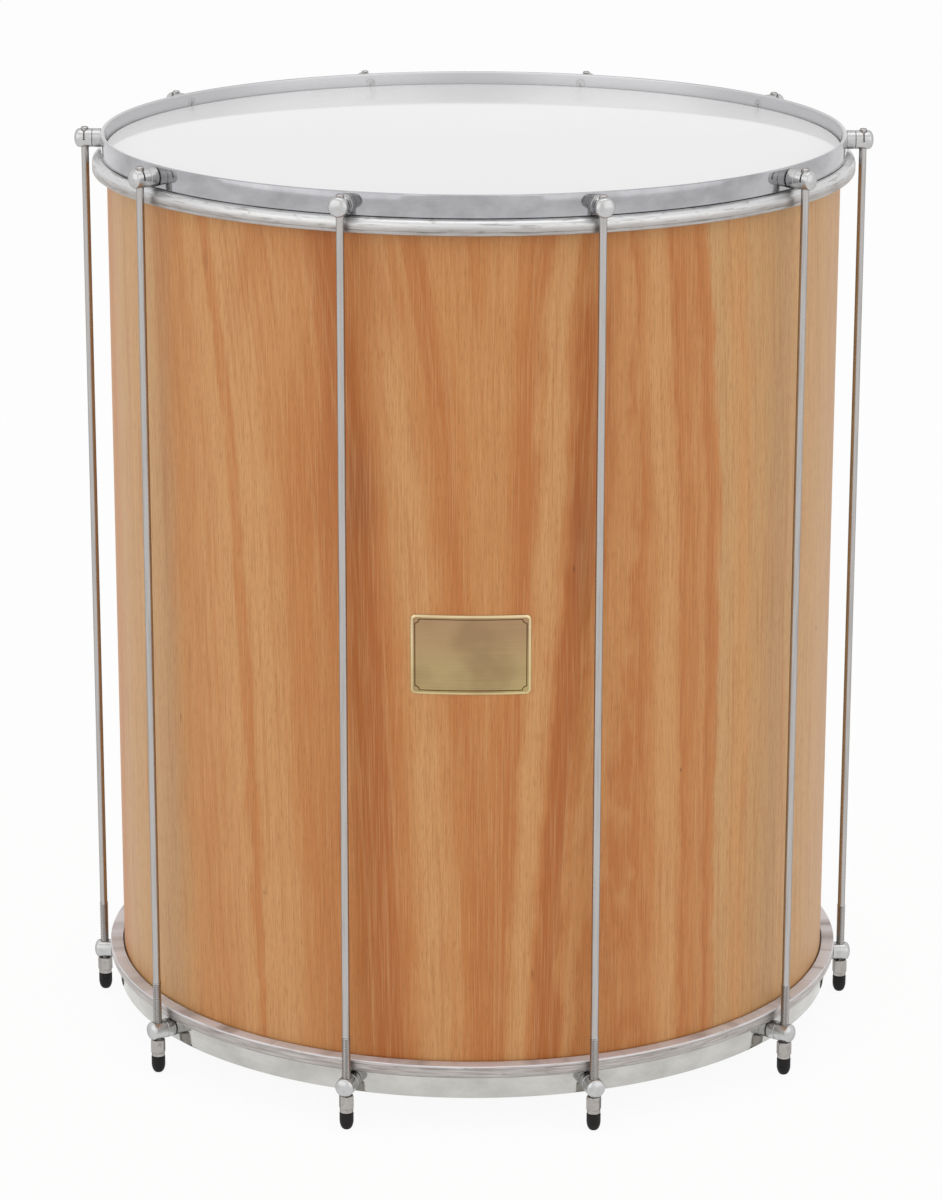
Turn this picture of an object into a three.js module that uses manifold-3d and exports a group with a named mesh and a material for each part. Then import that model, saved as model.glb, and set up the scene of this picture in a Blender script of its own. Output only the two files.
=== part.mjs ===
// A surdo: a large bass drum with a veneered plywood shell, a head at each end and ten long tension rods.
// Millimetres. +Z is up, the badge faces -Y, and the drum stands on z = 0 on the rubber feet of its rods.

import * as THREE from 'three';
import { mergeVertices } from 'three/addons/utils/BufferGeometryUtils.js';
import Module from 'manifold-3d';

const wasm = await Module();
wasm.setup();

// Clearances: between pieces that rest on each other, and past a surface that a cutter goes through
const seatGap = 0.3;
const overrun = 2;

// Shell: a plywood tube with a bearing edge at each end
const shellRadius = 254;
const shellHeight = 596;
const shellWall = 7;
const bearingRound = 1.6;
const bearingCrest = 1.4;

// Heads: a plastic film, bent down over the shell, with a hem that the flesh hoop grips
const filmThickness = 0.5;
const hemWidth = 1.5;
const hemDepth = 4;

// Counterhoops: flat steel bands
const bandThickness = 2.8;
const bandHeight = 15.2;
const headDepth = 9.2;

// Flesh hoops: aluminium rings, which stand out past the counterhoops
const fleshLip = 6.1;
const fleshHeight = 10.1;
const fleshRimRound = 5.5;
const fleshHeelRound = 0.9;

// Lugs: turned barrels, each held by a countersunk screw through the counterhoop
const lugCount = 10;
const lugDiameter = 13;
const lugNose = 7.4;
const lugDomeLength = 3.4;
const lugShoulderRadiusShare = 0.76;
const lugShoulderLengthShare = 0.68;
const upperLugDrop = 7.7;
const lowerLugDrop = 6.7;
const screwDiameter = 4;
const screwHeadDiameter = 7.2;
const screwHeadRim = 0.3;

// Cross slot of the upper lugs, which the pin of the rod drops into
const slotWidth = 1.1;
const slotEndDiameter = 1.7;
const slotMouthWidth = 5.3;
const slotMouthDepth = 2.3;

// Tension rods
const rodStandoff = 5.8;
const rodDiameter = 5.2;
const threadDiameter = 6;
const threadAboveLug = 29.3;
const rodProud = 1.3;
const rodChamfer = 0.6;
const pinDiameter = 0.9;
const pinLength = 10.4;

// Tension nuts: a hexagon over a round collar
const nutAcrossFlats = 9;
const nutHexHeight = 9.2;
const nutCollarHeight = 2.8;
const nutCollarDiameter = 9.2;
const nutChamfer = 0.7;

// Rubber feet
const footDiameter = 9.6;
const footLength = 12;
const footSole = 4;
const footTipDiameter = 3.2;
const footDomeHeight = 5.6;

// Badge: a blank brass plate bent to the shell
const badgeWidth = 79;
const badgeHeight = 54;
const badgeThickness = 0.8;
const badgeCornerRadius = 3.4;
const badgeRise = 3;

// Flats round each turned surface
const hoopFlats = 60;
const lugFlats = 12;
const screwFlats = 8;
const rodFlats = 10;
const footFlats = 10;
const smallHoleFlats = 6;
const hexFlats = 6;
const cornerSteps = 4;

// Radii that follow from the stack of pieces round the shell
const collarInnerRadius = shellRadius + seatGap;
const collarOuterRadius = collarInnerRadius + filmThickness;
const bandInnerRadius = collarOuterRadius + seatGap;
const bandOuterRadius = bandInnerRadius + bandThickness;
const fleshOuterRadius = bandOuterRadius + fleshLip;
const hemRadius = collarOuterRadius + hemWidth;
const rodCircleRadius = fleshOuterRadius + rodStandoff;
const lugBaseRadius = bandOuterRadius + seatGap;

// Heights above the shell's end, outwards, which are alike at both ends
const filmFace = seatGap + filmThickness;
const bandFreeEdge = filmFace + headDepth;
const bandSeatEdge = bandFreeEdge - bandHeight;
const fleshRim = bandSeatEdge - seatGap;
const fleshHeel = fleshRim - fleshHeight;
const hemFace = fleshRim - hemDepth;

// Heights above the floor, built up from the feet
const lugRadius = lugDiameter / 2;
const nutHeight = nutHexHeight + nutCollarHeight;
const nutBase = footLength + seatGap;
const lowerLugZ = nutBase + nutHeight + seatGap + lugRadius;
const lowerEndZ = lowerLugZ + lowerLugDrop + bandSeatEdge;
const upperEndZ = lowerEndZ + shellHeight;
const upperLugZ = upperEndZ + bandFreeEdge - upperLugDrop;
const rodTipZ = footSole + seatGap;
const rodTopZ = upperLugZ + lugRadius + rodProud;

// Share of a quarter round's radius at which its middle lies in from each side
const quarterMiddleShare = 1 - Math.SQRT1_2;

const material = (color, roughness, metalness) => new THREE.MeshStandardMaterial({ color, roughness, metalness });
const veneer = () => material('#b9804f', 0.45, 0);
const polishedSteel = () => material('#b4b5b6', 0.22, 1);
const castSteel = () => material('#b9bab9', 0.32, 1);
const rodSteel = () => material('#a8a7a5', 0.35, 1);
const dullAluminium = () => material('#b9b7b4', 0.42, 1);
const whiteFilm = () => material('#ececec', 0.18, 0);
const blackRubber = () => material('#1e1c1b', 0.75, 0);
const brushedBrass = () => material('#b39a6c', 0.35, 1);

// Turns an outline of [radius, height] points about Z. The flats, not the corners, lie at the outline's radii.
function turned(outline, flats) {
  const spread = 1 / Math.cos(Math.PI / flats);
  const points = outline.map(([radius, height]) => new THREE.Vector2(radius * spread, height));
  return new THREE.LatheGeometry(points, flats, Math.PI / flats).rotateX(Math.PI / 2);
}

// Turns an outline of [radius, distance outwards] points about the X axis
function turnedAlongX(outline, flats) {
  return turned(outline, flats).rotateY(Math.PI / 2);
}

// A round bar between two heights, for holes
function bar(radius, from, to, flats) {
  return turned([[0, from], [radius, from], [radius, to], [0, to]], flats);
}

// An outline in the X-Z plane, drawn out evenly to both sides along Y
function drawnAlongY(points, width) {
  const shape = new THREE.Shape(points.map(([x, z]) => new THREE.Vector2(x, z)));
  return new THREE.ExtrudeGeometry(shape, { depth: width, bevelEnabled: false })
    .translate(0, 0, -width / 2)
    .rotateX(Math.PI / 2);
}

function solidFrom(geometry) {
  const bare = geometry.clone();
  bare.deleteAttribute('normal');
  bare.deleteAttribute('uv');
  const merged = mergeVertices(bare);
  const vertProperties = merged.attributes.position.array;
  const triVerts = new Uint32Array(merged.index.array);
  return new wasm.Manifold(new wasm.Mesh({ numProp: 3, vertProperties, triVerts }));
}

function geometryFrom(solid) {
  const { vertProperties, triVerts } = solid.getMesh();
  const geometry = new THREE.BufferGeometry();
  geometry.setAttribute('position', new THREE.BufferAttribute(vertProperties, 3));
  geometry.setIndex(new THREE.BufferAttribute(triVerts, 1));
  geometry.computeVertexNormals();
  return geometry;
}

// One geometry less the others
function cut(geometry, ...cutters) {
  return geometryFrom(cutters.reduce((solid, cutter) => solid.subtract(solidFrom(cutter)), solidFrom(geometry)));
}

function piece(name, geometry, finish) {
  const mesh = new THREE.Mesh(geometry, finish);
  mesh.name = name;
  return mesh;
}

// Angle about Z of one of the ten stations, counted anticlockwise from the front
const frontAngle = -Math.PI / 2;
const stationAngle = (index) => frontAngle + ((index + 1 / 2) * 2 * Math.PI) / lugCount;
const stationName = (name, index) => `${name}_${String(index + 1).padStart(2, '0')}`;

// Bearing edge: rounded outside, a narrow crest, then 45 degrees down to the inside
function shellGeometry() {
  const middle = quarterMiddleShare * bearingRound;
  const bevel = shellWall - bearingRound - bearingCrest;
  const bore = shellRadius - shellWall;
  const end = [
    [shellRadius, bearingRound],
    [shellRadius - middle, middle],
    [shellRadius - bearingRound, 0],
    [shellRadius - bearingRound - bearingCrest, 0],
    [bore, bevel],
  ];
  const lower = end.map(([radius, height]) => [radius, lowerEndZ + height]);
  const upper = end.map(([radius, height]) => [radius, upperEndZ - height]);
  return turned([...lower.reverse(), ...upper, lower[0]], hoopFlats);
}

// A head's film, drawn for the upper end: flat over the shell, round the bearing edge and down to its hem
function headOutline() {
  const bendCentre = shellRadius - bearingRound;
  const bend = (radius) => [
    [bendCentre, radius - bearingRound],
    [bendCentre + radius * Math.SQRT1_2, radius * Math.SQRT1_2 - bearingRound],
    [bendCentre + radius, -bearingRound],
  ];
  const inside = bend(bearingRound + seatGap);
  const outside = bend(bearingRound + filmFace);
  return [
    [0, seatGap],
    ...inside,
    [collarInnerRadius, hemFace],
    [hemRadius, hemFace],
    [hemRadius, hemFace + filmThickness],
    [collarOuterRadius, hemFace + filmThickness],
    ...outside.reverse(),
    [0, filmFace],
  ];
}

// A flesh hoop's section, drawn for the upper end: round rim, straight side, square heel, groove for the hem
function fleshHoopOutline() {
  const rimMiddle = quarterMiddleShare * fleshRimRound;
  const grooveRadius = hemRadius + seatGap;
  const grooveFloor = hemFace - seatGap;
  const grooveRoof = hemFace + filmThickness + seatGap;
  return [
    [bandInnerRadius, fleshHeel],
    [fleshOuterRadius - fleshHeelRound, fleshHeel],
    [fleshOuterRadius, fleshHeel + fleshHeelRound],
    [fleshOuterRadius, fleshRim - fleshRimRound],
    [fleshOuterRadius - rimMiddle, fleshRim - rimMiddle],
    [fleshOuterRadius - fleshRimRound, fleshRim],
    [bandInnerRadius, fleshRim],
    [bandInnerRadius, grooveRoof],
    [grooveRadius, grooveRoof],
    [grooveRadius, grooveFloor],
    [bandInnerRadius, grooveFloor],
    [bandInnerRadius, fleshHeel],
  ];
}

// The countersunk screw and its hole share one taper, from the head's rim down to the stem
const screwRadius = screwDiameter / 2;
const screwHeadRadius = screwHeadDiameter / 2;
const screwTaper = screwHeadRadius - screwRadius;

function screwHole() {
  const rim = bandInnerRadius + screwHeadRim;
  const outline = [
    [0, bandInnerRadius - overrun],
    [screwHeadRadius + seatGap, bandInnerRadius - overrun],
    [screwHeadRadius + seatGap, rim + seatGap],
    [screwRadius + seatGap, rim + seatGap + screwTaper],
    [screwRadius + seatGap, bandOuterRadius + overrun],
    [0, bandOuterRadius + overrun],
  ];
  return turnedAlongX(outline, screwFlats);
}

// A counterhoop, at its height above the floor, with a countersunk hole at each lug
function counterhoopGeometry(lowEdgeZ, lugZ) {
  const band = turned(
    [
      [bandInnerRadius, lowEdgeZ],
      [bandOuterRadius, lowEdgeZ],
      [bandOuterRadius, lowEdgeZ + bandHeight],
      [bandInnerRadius, lowEdgeZ + bandHeight],
      [bandInnerRadius, lowEdgeZ],
    ],
    hoopFlats,
  );
  const hole = (_, index) => screwHole().translate(0, 0, lugZ).rotateZ(stationAngle(index));
  return cut(band, ...Array.from({ length: lugCount }, hole));
}

// A lug and its screw, turned about X, with its base on the counterhoop and its rod hole on the rod circle
const lugEndRadius = rodCircleRadius + lugNose;

function lugBlank() {
  const headFace = bandInnerRadius;
  const domeStart = lugEndRadius - lugDomeLength;
  const shoulder = [lugShoulderRadiusShare * lugRadius, domeStart + lugShoulderLengthShare * lugDomeLength];
  return turnedAlongX(
    [
      [0, headFace],
      [screwHeadRadius, headFace],
      [screwHeadRadius, headFace + screwHeadRim],
      [screwRadius, headFace + screwHeadRim + screwTaper],
      [screwRadius, lugBaseRadius],
      [lugRadius, lugBaseRadius],
      [lugRadius, domeStart],
      shoulder,
      [0, lugEndRadius],
    ],
    lugFlats,
  );
}

function lowerLugGeometry() {
  const hole = bar(threadDiameter / 2 + seatGap, -lugRadius - overrun, lugRadius + overrun, rodFlats);
  return cut(lugBlank(), hole.translate(rodCircleRadius, 0, 0));
}

function upperLugGeometry() {
  const hole = bar(rodDiameter / 2 + seatGap, -lugRadius - overrun, lugRadius + overrun, rodFlats);
  const slotHalf = slotWidth / 2;
  const mouthHalf = slotMouthWidth / 2;
  const mouthFloor = lugRadius - slotMouthDepth;
  const mouthSlope = mouthHalf / slotMouthDepth;
  const mouthTop = lugRadius + overrun;
  const topHalf = mouthHalf + overrun * mouthSlope;
  const length = lugDiameter + 2 * overrun;
  const slot = drawnAlongY([[-slotHalf, 0], [slotHalf, 0], [slotHalf, mouthTop], [-slotHalf, mouthTop]], length);
  const mouth = drawnAlongY([[0, mouthFloor], [topHalf, mouthTop], [-topHalf, mouthTop]], length);
  const slotEnd = bar(slotEndDiameter / 2, -length / 2, length / 2, smallHoleFlats).rotateX(Math.PI / 2);
  const cutters = [hole, slot, mouth, slotEnd].map((cutter) => cutter.translate(rodCircleRadius, 0, 0));
  return cut(lugBlank(), ...cutters);
}

// A rod with its rolled thread below and the pin pressed across it, drawn about the Z axis
function rodGeometry() {
  const threadRadius = threadDiameter / 2;
  const shankRadius = rodDiameter / 2;
  const threadTopZ = lowerLugZ + lugRadius + threadAboveLug;
  const rod = turned(
    [
      [0, rodTipZ],
      [threadRadius - rodChamfer, rodTipZ],
      [threadRadius, rodTipZ + rodChamfer],
      [threadRadius, threadTopZ],
      [shankRadius, threadTopZ + threadRadius - shankRadius],
      [shankRadius, rodTopZ - rodChamfer],
      [shankRadius - rodChamfer, rodTopZ],
      [0, rodTopZ],
    ],
    rodFlats,
  );
  const pin = bar(pinDiameter / 2, -pinLength / 2, pinLength / 2, smallHoleFlats);
  return geometryFrom(solidFrom(rod).add(solidFrom(pin.rotateX(Math.PI / 2).translate(0, 0, upperLugZ))));
}

// A nut on the Z axis: the hexagon's upper corners are turned off, and its collar rests on the rubber foot
function nutGeometry() {
  const boreRadius = threadDiameter / 2 + seatGap;
  const hexBase = nutBase + nutCollarHeight;
  const hexTop = hexBase + nutHexHeight;
  const flatRadius = nutAcrossFlats / 2;
  const cornerRadius = flatRadius / Math.cos(Math.PI / hexFlats);
  const collar = bar(nutCollarDiameter / 2, nutBase, hexBase + overrun, rodFlats);
  const hexagon = bar(flatRadius, hexBase, hexTop, hexFlats);
  const turnedDown = turned(
    [
      [0, nutBase],
      [cornerRadius + overrun, nutBase],
      [cornerRadius + overrun, hexTop - nutChamfer - overrun],
      [flatRadius, hexTop - nutChamfer / 2],
      [flatRadius - nutChamfer, hexTop],
      [0, hexTop],
    ],
    rodFlats,
  );
  const bore = bar(boreRadius, nutBase - overrun, hexTop + overrun, rodFlats);
  const shortCollar = solidFrom(collar).intersect(solidFrom(bar(cornerRadius, nutBase, hexBase, rodFlats)));
  const body = shortCollar.add(solidFrom(hexagon).intersect(solidFrom(turnedDown)));
  return geometryFrom(body.subtract(solidFrom(bore)));
}

// A rubber foot on the Z axis: a bullet-shaped cap with a flat tip and a blind bore for the end of the rod
function footGeometry() {
  const footRadius = footDiameter / 2;
  const tipRadius = footTipDiameter / 2;
  const boreRadius = threadDiameter / 2 + seatGap;
  const middle = quarterMiddleShare * footDomeHeight;
  return turned(
    [
      [0, 0],
      [tipRadius, 0],
      [tipRadius + (footRadius - tipRadius) * Math.SQRT1_2, middle],
      [footRadius, footDomeHeight],
      [footRadius, footLength],
      [boreRadius, footLength],
      [boreRadius, footSole],
      [0, footSole],
    ],
    footFlats,
  );
}

// The blank badge: a rounded plate cut out of a thin shell that wraps the drum
function badgeGeometry() {
  const innerRadius = shellRadius + seatGap;
  const centreZ = lowerEndZ + shellHeight / 2 + badgeRise;
  const halfWidth = badgeWidth / 2;
  const halfHeight = badgeHeight / 2;
  const corner = badgeCornerRadius;
  const wrap = turned(
    [
      [innerRadius, centreZ - badgeHeight],
      [innerRadius + badgeThickness, centreZ - badgeHeight],
      [innerRadius + badgeThickness, centreZ + badgeHeight],
      [innerRadius, centreZ + badgeHeight],
      [innerRadius, centreZ - badgeHeight],
    ],
    hoopFlats,
  );
  const outline = new THREE.Shape();
  outline.absarc(halfWidth - corner, corner - halfHeight, corner, -Math.PI / 2, 0);
  outline.absarc(halfWidth - corner, halfHeight - corner, corner, 0, Math.PI / 2);
  outline.absarc(corner - halfWidth, halfHeight - corner, corner, Math.PI / 2, Math.PI);
  outline.absarc(corner - halfWidth, corner - halfHeight, corner, Math.PI, (3 * Math.PI) / 2);
  const depth = shellRadius + overrun + badgeThickness;
  const punch = new THREE.ExtrudeGeometry(outline, { depth, bevelEnabled: false, curveSegments: cornerSteps })
    .rotateX(Math.PI / 2)
    .translate(0, 0, centreZ);
  return geometryFrom(solidFrom(wrap).intersect(solidFrom(punch)));
}

// What stands at one station, in a group that is turned to it about Z
function station(index) {
  const group = new THREE.Group();
  group.rotation.z = stationAngle(index);
  const upperLug = piece(stationName('top_lug', index), upperLugGeometry(), castSteel());
  upperLug.position.z = upperLugZ;
  const lowerLug = piece(stationName('bottom_lug', index), lowerLugGeometry(), castSteel());
  lowerLug.position.z = lowerLugZ;
  const rod = piece(stationName('tension_rod', index), rodGeometry(), rodSteel());
  const nut = piece(stationName('tension_nut', index), nutGeometry(), castSteel());
  const foot = piece(stationName('rubber_foot', index), footGeometry(), blackRubber());
  for (const upright of [rod, nut, foot]) upright.position.x = rodCircleRadius;
  group.add(upperLug, lowerLug, rod, nut, foot);
  return group;
}

// The head and the flesh hoop at each end: the lower pair is the upper pair turned upside down
function end(name, endZ, turn) {
  const group = new THREE.Group();
  group.position.z = endZ;
  group.rotation.x = turn;
  group.add(piece(`${name}_head`, turned(headOutline(), hoopFlats), whiteFilm()));
  group.add(piece(`${name}_flesh_hoop`, turned(fleshHoopOutline(), hoopFlats), dullAluminium()));
  return group;
}

const upperBand = counterhoopGeometry(upperEndZ + bandSeatEdge, upperLugZ);
const lowerBand = counterhoopGeometry(lowerEndZ - bandFreeEdge, lowerLugZ);

const surdo = new THREE.Group();
surdo.add(piece('shell', shellGeometry(), veneer()));
surdo.add(piece('badge', badgeGeometry(), brushedBrass()));
surdo.add(end('top', upperEndZ, 0));
surdo.add(end('bottom', lowerEndZ, Math.PI));
surdo.add(piece('top_counterhoop', upperBand, polishedSteel()));
surdo.add(piece('bottom_counterhoop', lowerBand, polishedSteel()));
for (let index = 0; index < lugCount; index += 1) surdo.add(station(index));

export default surdo;
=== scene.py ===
# %% [markdown]
# # A surdo, dressed in Blender
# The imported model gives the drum's pieces at their real size. This script gives each of them
# its finished surface: true circles in place of facets, rolled threads, a knurled nut, a
# veneer with its figure. Every piece is made where the frame says that it stands.

# %% Load the frame
import math

import bmesh
import bpy
from mathutils import Matrix, Vector


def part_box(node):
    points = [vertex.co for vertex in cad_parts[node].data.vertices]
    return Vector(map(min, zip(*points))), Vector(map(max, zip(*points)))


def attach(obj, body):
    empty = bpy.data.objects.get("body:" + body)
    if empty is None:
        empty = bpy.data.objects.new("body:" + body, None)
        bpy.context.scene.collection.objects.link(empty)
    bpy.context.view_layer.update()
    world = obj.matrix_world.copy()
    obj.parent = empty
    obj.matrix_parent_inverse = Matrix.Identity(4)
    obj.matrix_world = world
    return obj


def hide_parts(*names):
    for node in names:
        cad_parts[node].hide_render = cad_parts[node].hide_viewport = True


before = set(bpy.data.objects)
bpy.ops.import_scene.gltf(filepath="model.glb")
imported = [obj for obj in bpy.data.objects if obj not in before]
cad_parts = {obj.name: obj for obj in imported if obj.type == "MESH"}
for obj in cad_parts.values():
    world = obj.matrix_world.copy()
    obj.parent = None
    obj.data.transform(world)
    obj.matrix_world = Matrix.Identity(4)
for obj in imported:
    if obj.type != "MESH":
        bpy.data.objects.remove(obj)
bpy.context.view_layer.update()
print("nodes in the frame:", len(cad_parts))

# %% [markdown]
# ## Sizes
# Lengths are in metres, so a size in millimetres is a number times MM. Places come from the
# boxes of the frame's own nodes, and only what a box can't say is named here.

# %% Units, stations and heights
MM = 0.001
STATIONS = 10
# The front is at -90 degrees, and the first station is next to it on the right
FIRST_STATION = math.radians(-72)
NAMES = [f"{index + 1:02d}" for index in range(STATIONS)]


def low(node):
    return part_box(node)[0]


def high(node):
    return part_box(node)[1]


SHELL_RADIUS = high("shell").x
BAND_OUTER = high("top_counterhoop").x
BAND_THICKNESS = 2.8 * MM
BAND_INNER = BAND_OUTER - BAND_THICKNESS
FLESH_OUTER = high("top_flesh_hoop").x
SIDE_LUG = "top_lug_03"
LUG_RADIUS = (high(SIDE_LUG).z - low(SIDE_LUG).z) / 2
TOP_LUG_Z = low(SIDE_LUG).z + LUG_RADIUS
BOTTOM_LUG_Z = low("bottom_lug_03").z + LUG_RADIUS
ROD_CIRCLE = (low("rubber_foot_03").x + high("rubber_foot_03").x) / 2
print(f"shell {SHELL_RADIUS / MM:.1f} mm, rods on {ROD_CIRCLE / MM:.1f} mm")

# %% [markdown]
# ## Helpers for nodes
# One function adds any node, to a material or to a geometry tree. It takes the node's own
# settings by name and a value, a socket or another node for each input. The kinds that come
# up most have a short name.

# %% Add a node
MATH, VECTOR_MATH, MAP_RANGE = "ShaderNodeMath", "ShaderNodeVectorMath", "ShaderNodeMapRange"
SPLIT_XYZ, JOIN_XYZ, NOISE = "ShaderNodeSeparateXYZ", "ShaderNodeCombineXYZ", "ShaderNodeTexNoise"


def add(tree, kind, links=None, **settings):
    node = tree.nodes.new(kind)
    for name, value in settings.items():
        setattr(node, name, value)
    for key, value in (links or {}).items():
        if isinstance(value, bpy.types.Node):
            value = next(socket for socket in value.outputs if socket.enabled)
        if isinstance(value, bpy.types.NodeSocket):
            tree.links.new(value, node.inputs[key])
        else:
            node.inputs[key].default_value = value
    return node


# %% Colours are written as sRGB hex and used as linear values


def linear(hex_colour):
    channels = [int(hex_colour[start : start + 2], 16) / 255 for start in (1, 3, 5)]
    return [c / 12.92 if c <= 0.04045 else ((c + 0.055) / 1.055) ** 2.4 for c in channels] + [1.0]


def set_ramp(node, stops):
    ramp = node.color_ramp
    ramp.interpolation = "EASE"
    while len(ramp.elements) < len(stops):
        ramp.elements.new(1.0)
    for element, (position, colour) in zip(ramp.elements, stops):
        element.position = position
        element.color = linear(colour)
    return node


# %% A material starts as a bare Principled surface


def new_material(name, **values):
    material = bpy.data.materials.new(name)
    material.use_nodes = True
    surface = material.node_tree.nodes["Principled BSDF"]
    for label, value in values.items():
        surface.inputs[label.replace("_", " ")].default_value = value
    print("material:", name)
    return material, material.node_tree, surface


# %% One more tone, a raised grain, a duller place


def lay_over(tree, surface, level, tone):
    """Lays one more tone over the surface's colour, fully where level is 1."""
    colour = surface.inputs["Base Color"]
    under = colour.links[0].from_socket if colour.links else list(colour.default_value)
    mixed = add(tree, "ShaderNodeMix", {0: level, 6: under, 7: linear(tone)}, data_type="RGBA")
    tree.links.new(mixed.outputs[2], colour)


def lay_where(tree, surface, value, none, full, tone, most=1.0, **settings):
    """Lays on a tone: nothing of it where the value is none, and most of it where it is full."""
    ends = {"From Min": none, "From Max": full, "To Max": most}
    level = add(tree, MAP_RANGE, {"Value": value, **ends}, **settings)
    lay_over(tree, surface, level, tone)
    return level


def raise_grain(tree, surface, height, strength, depth):
    """Shades the surface as if it rose by depth metres from where the height is 0 to where it is 1."""
    bump = add(tree, "ShaderNodeBump", {"Strength": strength, "Distance": depth, "Height": height})
    tree.links.new(bump.outputs[0], surface.inputs["Normal"])


def roughen(tree, surface, level, amount):
    """Adds to the roughness, by the whole amount where level is 1."""
    before = surface.inputs["Roughness"].links[0].from_socket
    dulled = add(tree, MATH, {0: level, 1: amount, 2: before}, operation="MULTIPLY_ADD")
    tree.links.new(dulled.outputs[0], surface.inputs["Roughness"])


# %% Distance from the upright axis


def from_axis(tree, place):
    level = add(tree, VECTOR_MATH, {0: place, 1: (1.0, 1.0, 0.0)}, operation="MULTIPLY")
    return add(tree, VECTOR_MATH, {0: level}, operation="LENGTH").outputs["Value"]


# %% An object in the scene


def in_scene(name, data):
    made = bpy.data.objects.new(name, data)
    bpy.context.scene.collection.objects.link(made)
    return made


# %% [markdown]
# ## The veneer
# The real shell is plywood faced with rotary-cut softwood under a satin lacquer. The knife
# meets the growth rings at a shallow angle, so each ring shows as a band of its own tone that
# runs up the drum, and at the front the rings close in nested Vs. A picture of wood would blur
# and repeat. Here every point gets its ring instead: its distance from the figure's middle
# line, plus how far the rings have closed in at its height. A ramp gives each ring its tone.

# %% Veneer: where a point lies on the unrolled sheet


def sheet_place(tree):
    place = add(tree, "ShaderNodeTexCoord").outputs["Object"]
    xyz = add(tree, SPLIT_XYZ, {0: place})
    front = add(tree, MATH, {0: xyz.outputs["Y"], 1: -1.0}, operation="MULTIPLY")
    turn = add(tree, MATH, {0: xyz.outputs["X"], 1: front}, operation="ARCTAN2")
    around = add(tree, MATH, {0: turn, 1: SHELL_RADIUS}, operation="MULTIPLY")
    return around, xyz.outputs["Z"]


def stretched(tree, around, height, wide, tall, detail, offset):
    """Noise whose features are wide by tall metres on the unrolled sheet, its own for each offset."""
    across = add(tree, MATH, {0: around, 1: 1 / wide, 2: offset}, operation="MULTIPLY_ADD")
    along = add(tree, MATH, {0: height, 1: 1 / tall}, operation="MULTIPLY")
    vector = add(tree, JOIN_XYZ, {"X": across, "Y": along, "Z": offset})
    return add(tree, NOISE, {"Vector": vector, "Scale": 1.0, "Detail": detail})


# %% Veneer: the ring that a point lies in
RING_CLOSING = 44 * MM
CLOSING_POWER = 0.55
MIDDLE_AT_TOP, MIDDLE_BELOW = 4 * MM, 12 * MM
MIDDLE_DROP = 200 * MM
V_ROUND = 3 * MM
FLOW_EASE = 30 * MM
# Where the closing fades right and left of the middle, and its share far to the right
RIGHT_FADE, LEFT_FADE = (50 * MM, 120 * MM), (-190 * MM, -300 * MM)
FAR_RIGHT_SHARE = -0.2
HALF_ROUND = math.pi / 2 * SHELL_RADIUS


def ring_place(tree, around, height):
    """Distance through the rings, whether it lies right of the figure's middle, and the line of flow."""
    top, foot = high("shell").z, low("shell").z
    folded = add(tree, MATH, {0: around, 1: HALF_ROUND}, operation="PINGPONG")
    side = add(tree, MATH, {0: around}, operation="SIGN")
    mirrored = add(tree, MATH, {0: folded, 1: side}, operation="MULTIPLY")
    ends = {"From Min": top, "From Max": top - MIDDLE_DROP, "To Min": MIDDLE_AT_TOP, "To Max": MIDDLE_BELOW}
    middle = add(tree, MAP_RANGE, {"Value": height, **ends})
    away = add(tree, MATH, {0: mirrored, 1: middle}, operation="SUBTRACT")
    down = add(tree, MAP_RANGE, {"Value": height, "From Min": top, "From Max": foot})
    closed = add(tree, MATH, {0: down, 1: CLOSING_POWER}, operation="POWER")
    # The rings close in by the whole amount near the middle. Far to its left they run straight
    # up, and far to its right they lean back a little.
    ends = {"From Min": RIGHT_FADE[0], "From Max": RIGHT_FADE[1], "To Min": 1.0, "To Max": FAR_RIGHT_SHARE}
    on_right = add(tree, MAP_RANGE, {"Value": away, **ends}, interpolation_type="SMOOTHSTEP")
    ends = {"From Min": LEFT_FADE[1], "From Max": LEFT_FADE[0]}
    on_left = add(tree, MAP_RANGE, {"Value": away, **ends}, interpolation_type="SMOOTHSTEP")
    share = add(tree, MATH, {0: on_right, 1: on_left}, operation="MULTIPLY")
    closing = add(tree, MATH, {0: closed, 1: RING_CLOSING}, operation="MULTIPLY")
    moved = add(tree, MATH, {0: closing, 1: share}, operation="MULTIPLY")
    squares = add(tree, MATH, {0: away, 1: away, 2: V_ROUND**2}, operation="MULTIPLY_ADD")
    distance = add(tree, MATH, {0: squares, 1: 0.5}, operation="POWER")
    ring = add(tree, MATH, {0: distance, 1: moved})
    is_right = add(tree, MATH, {0: away, 1: 0.0}, operation="GREATER_THAN")
    ends = {"From Min": -FLOW_EASE, "From Max": FLOW_EASE, "To Min": -1.0, "To Max": 1.0}
    sense = add(tree, MAP_RANGE, {"Value": away, **ends})
    flow = add(tree, MATH, {0: moved, 1: sense, 2: away}, operation="MULTIPLY_ADD")
    return ring, is_right, flow


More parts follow.
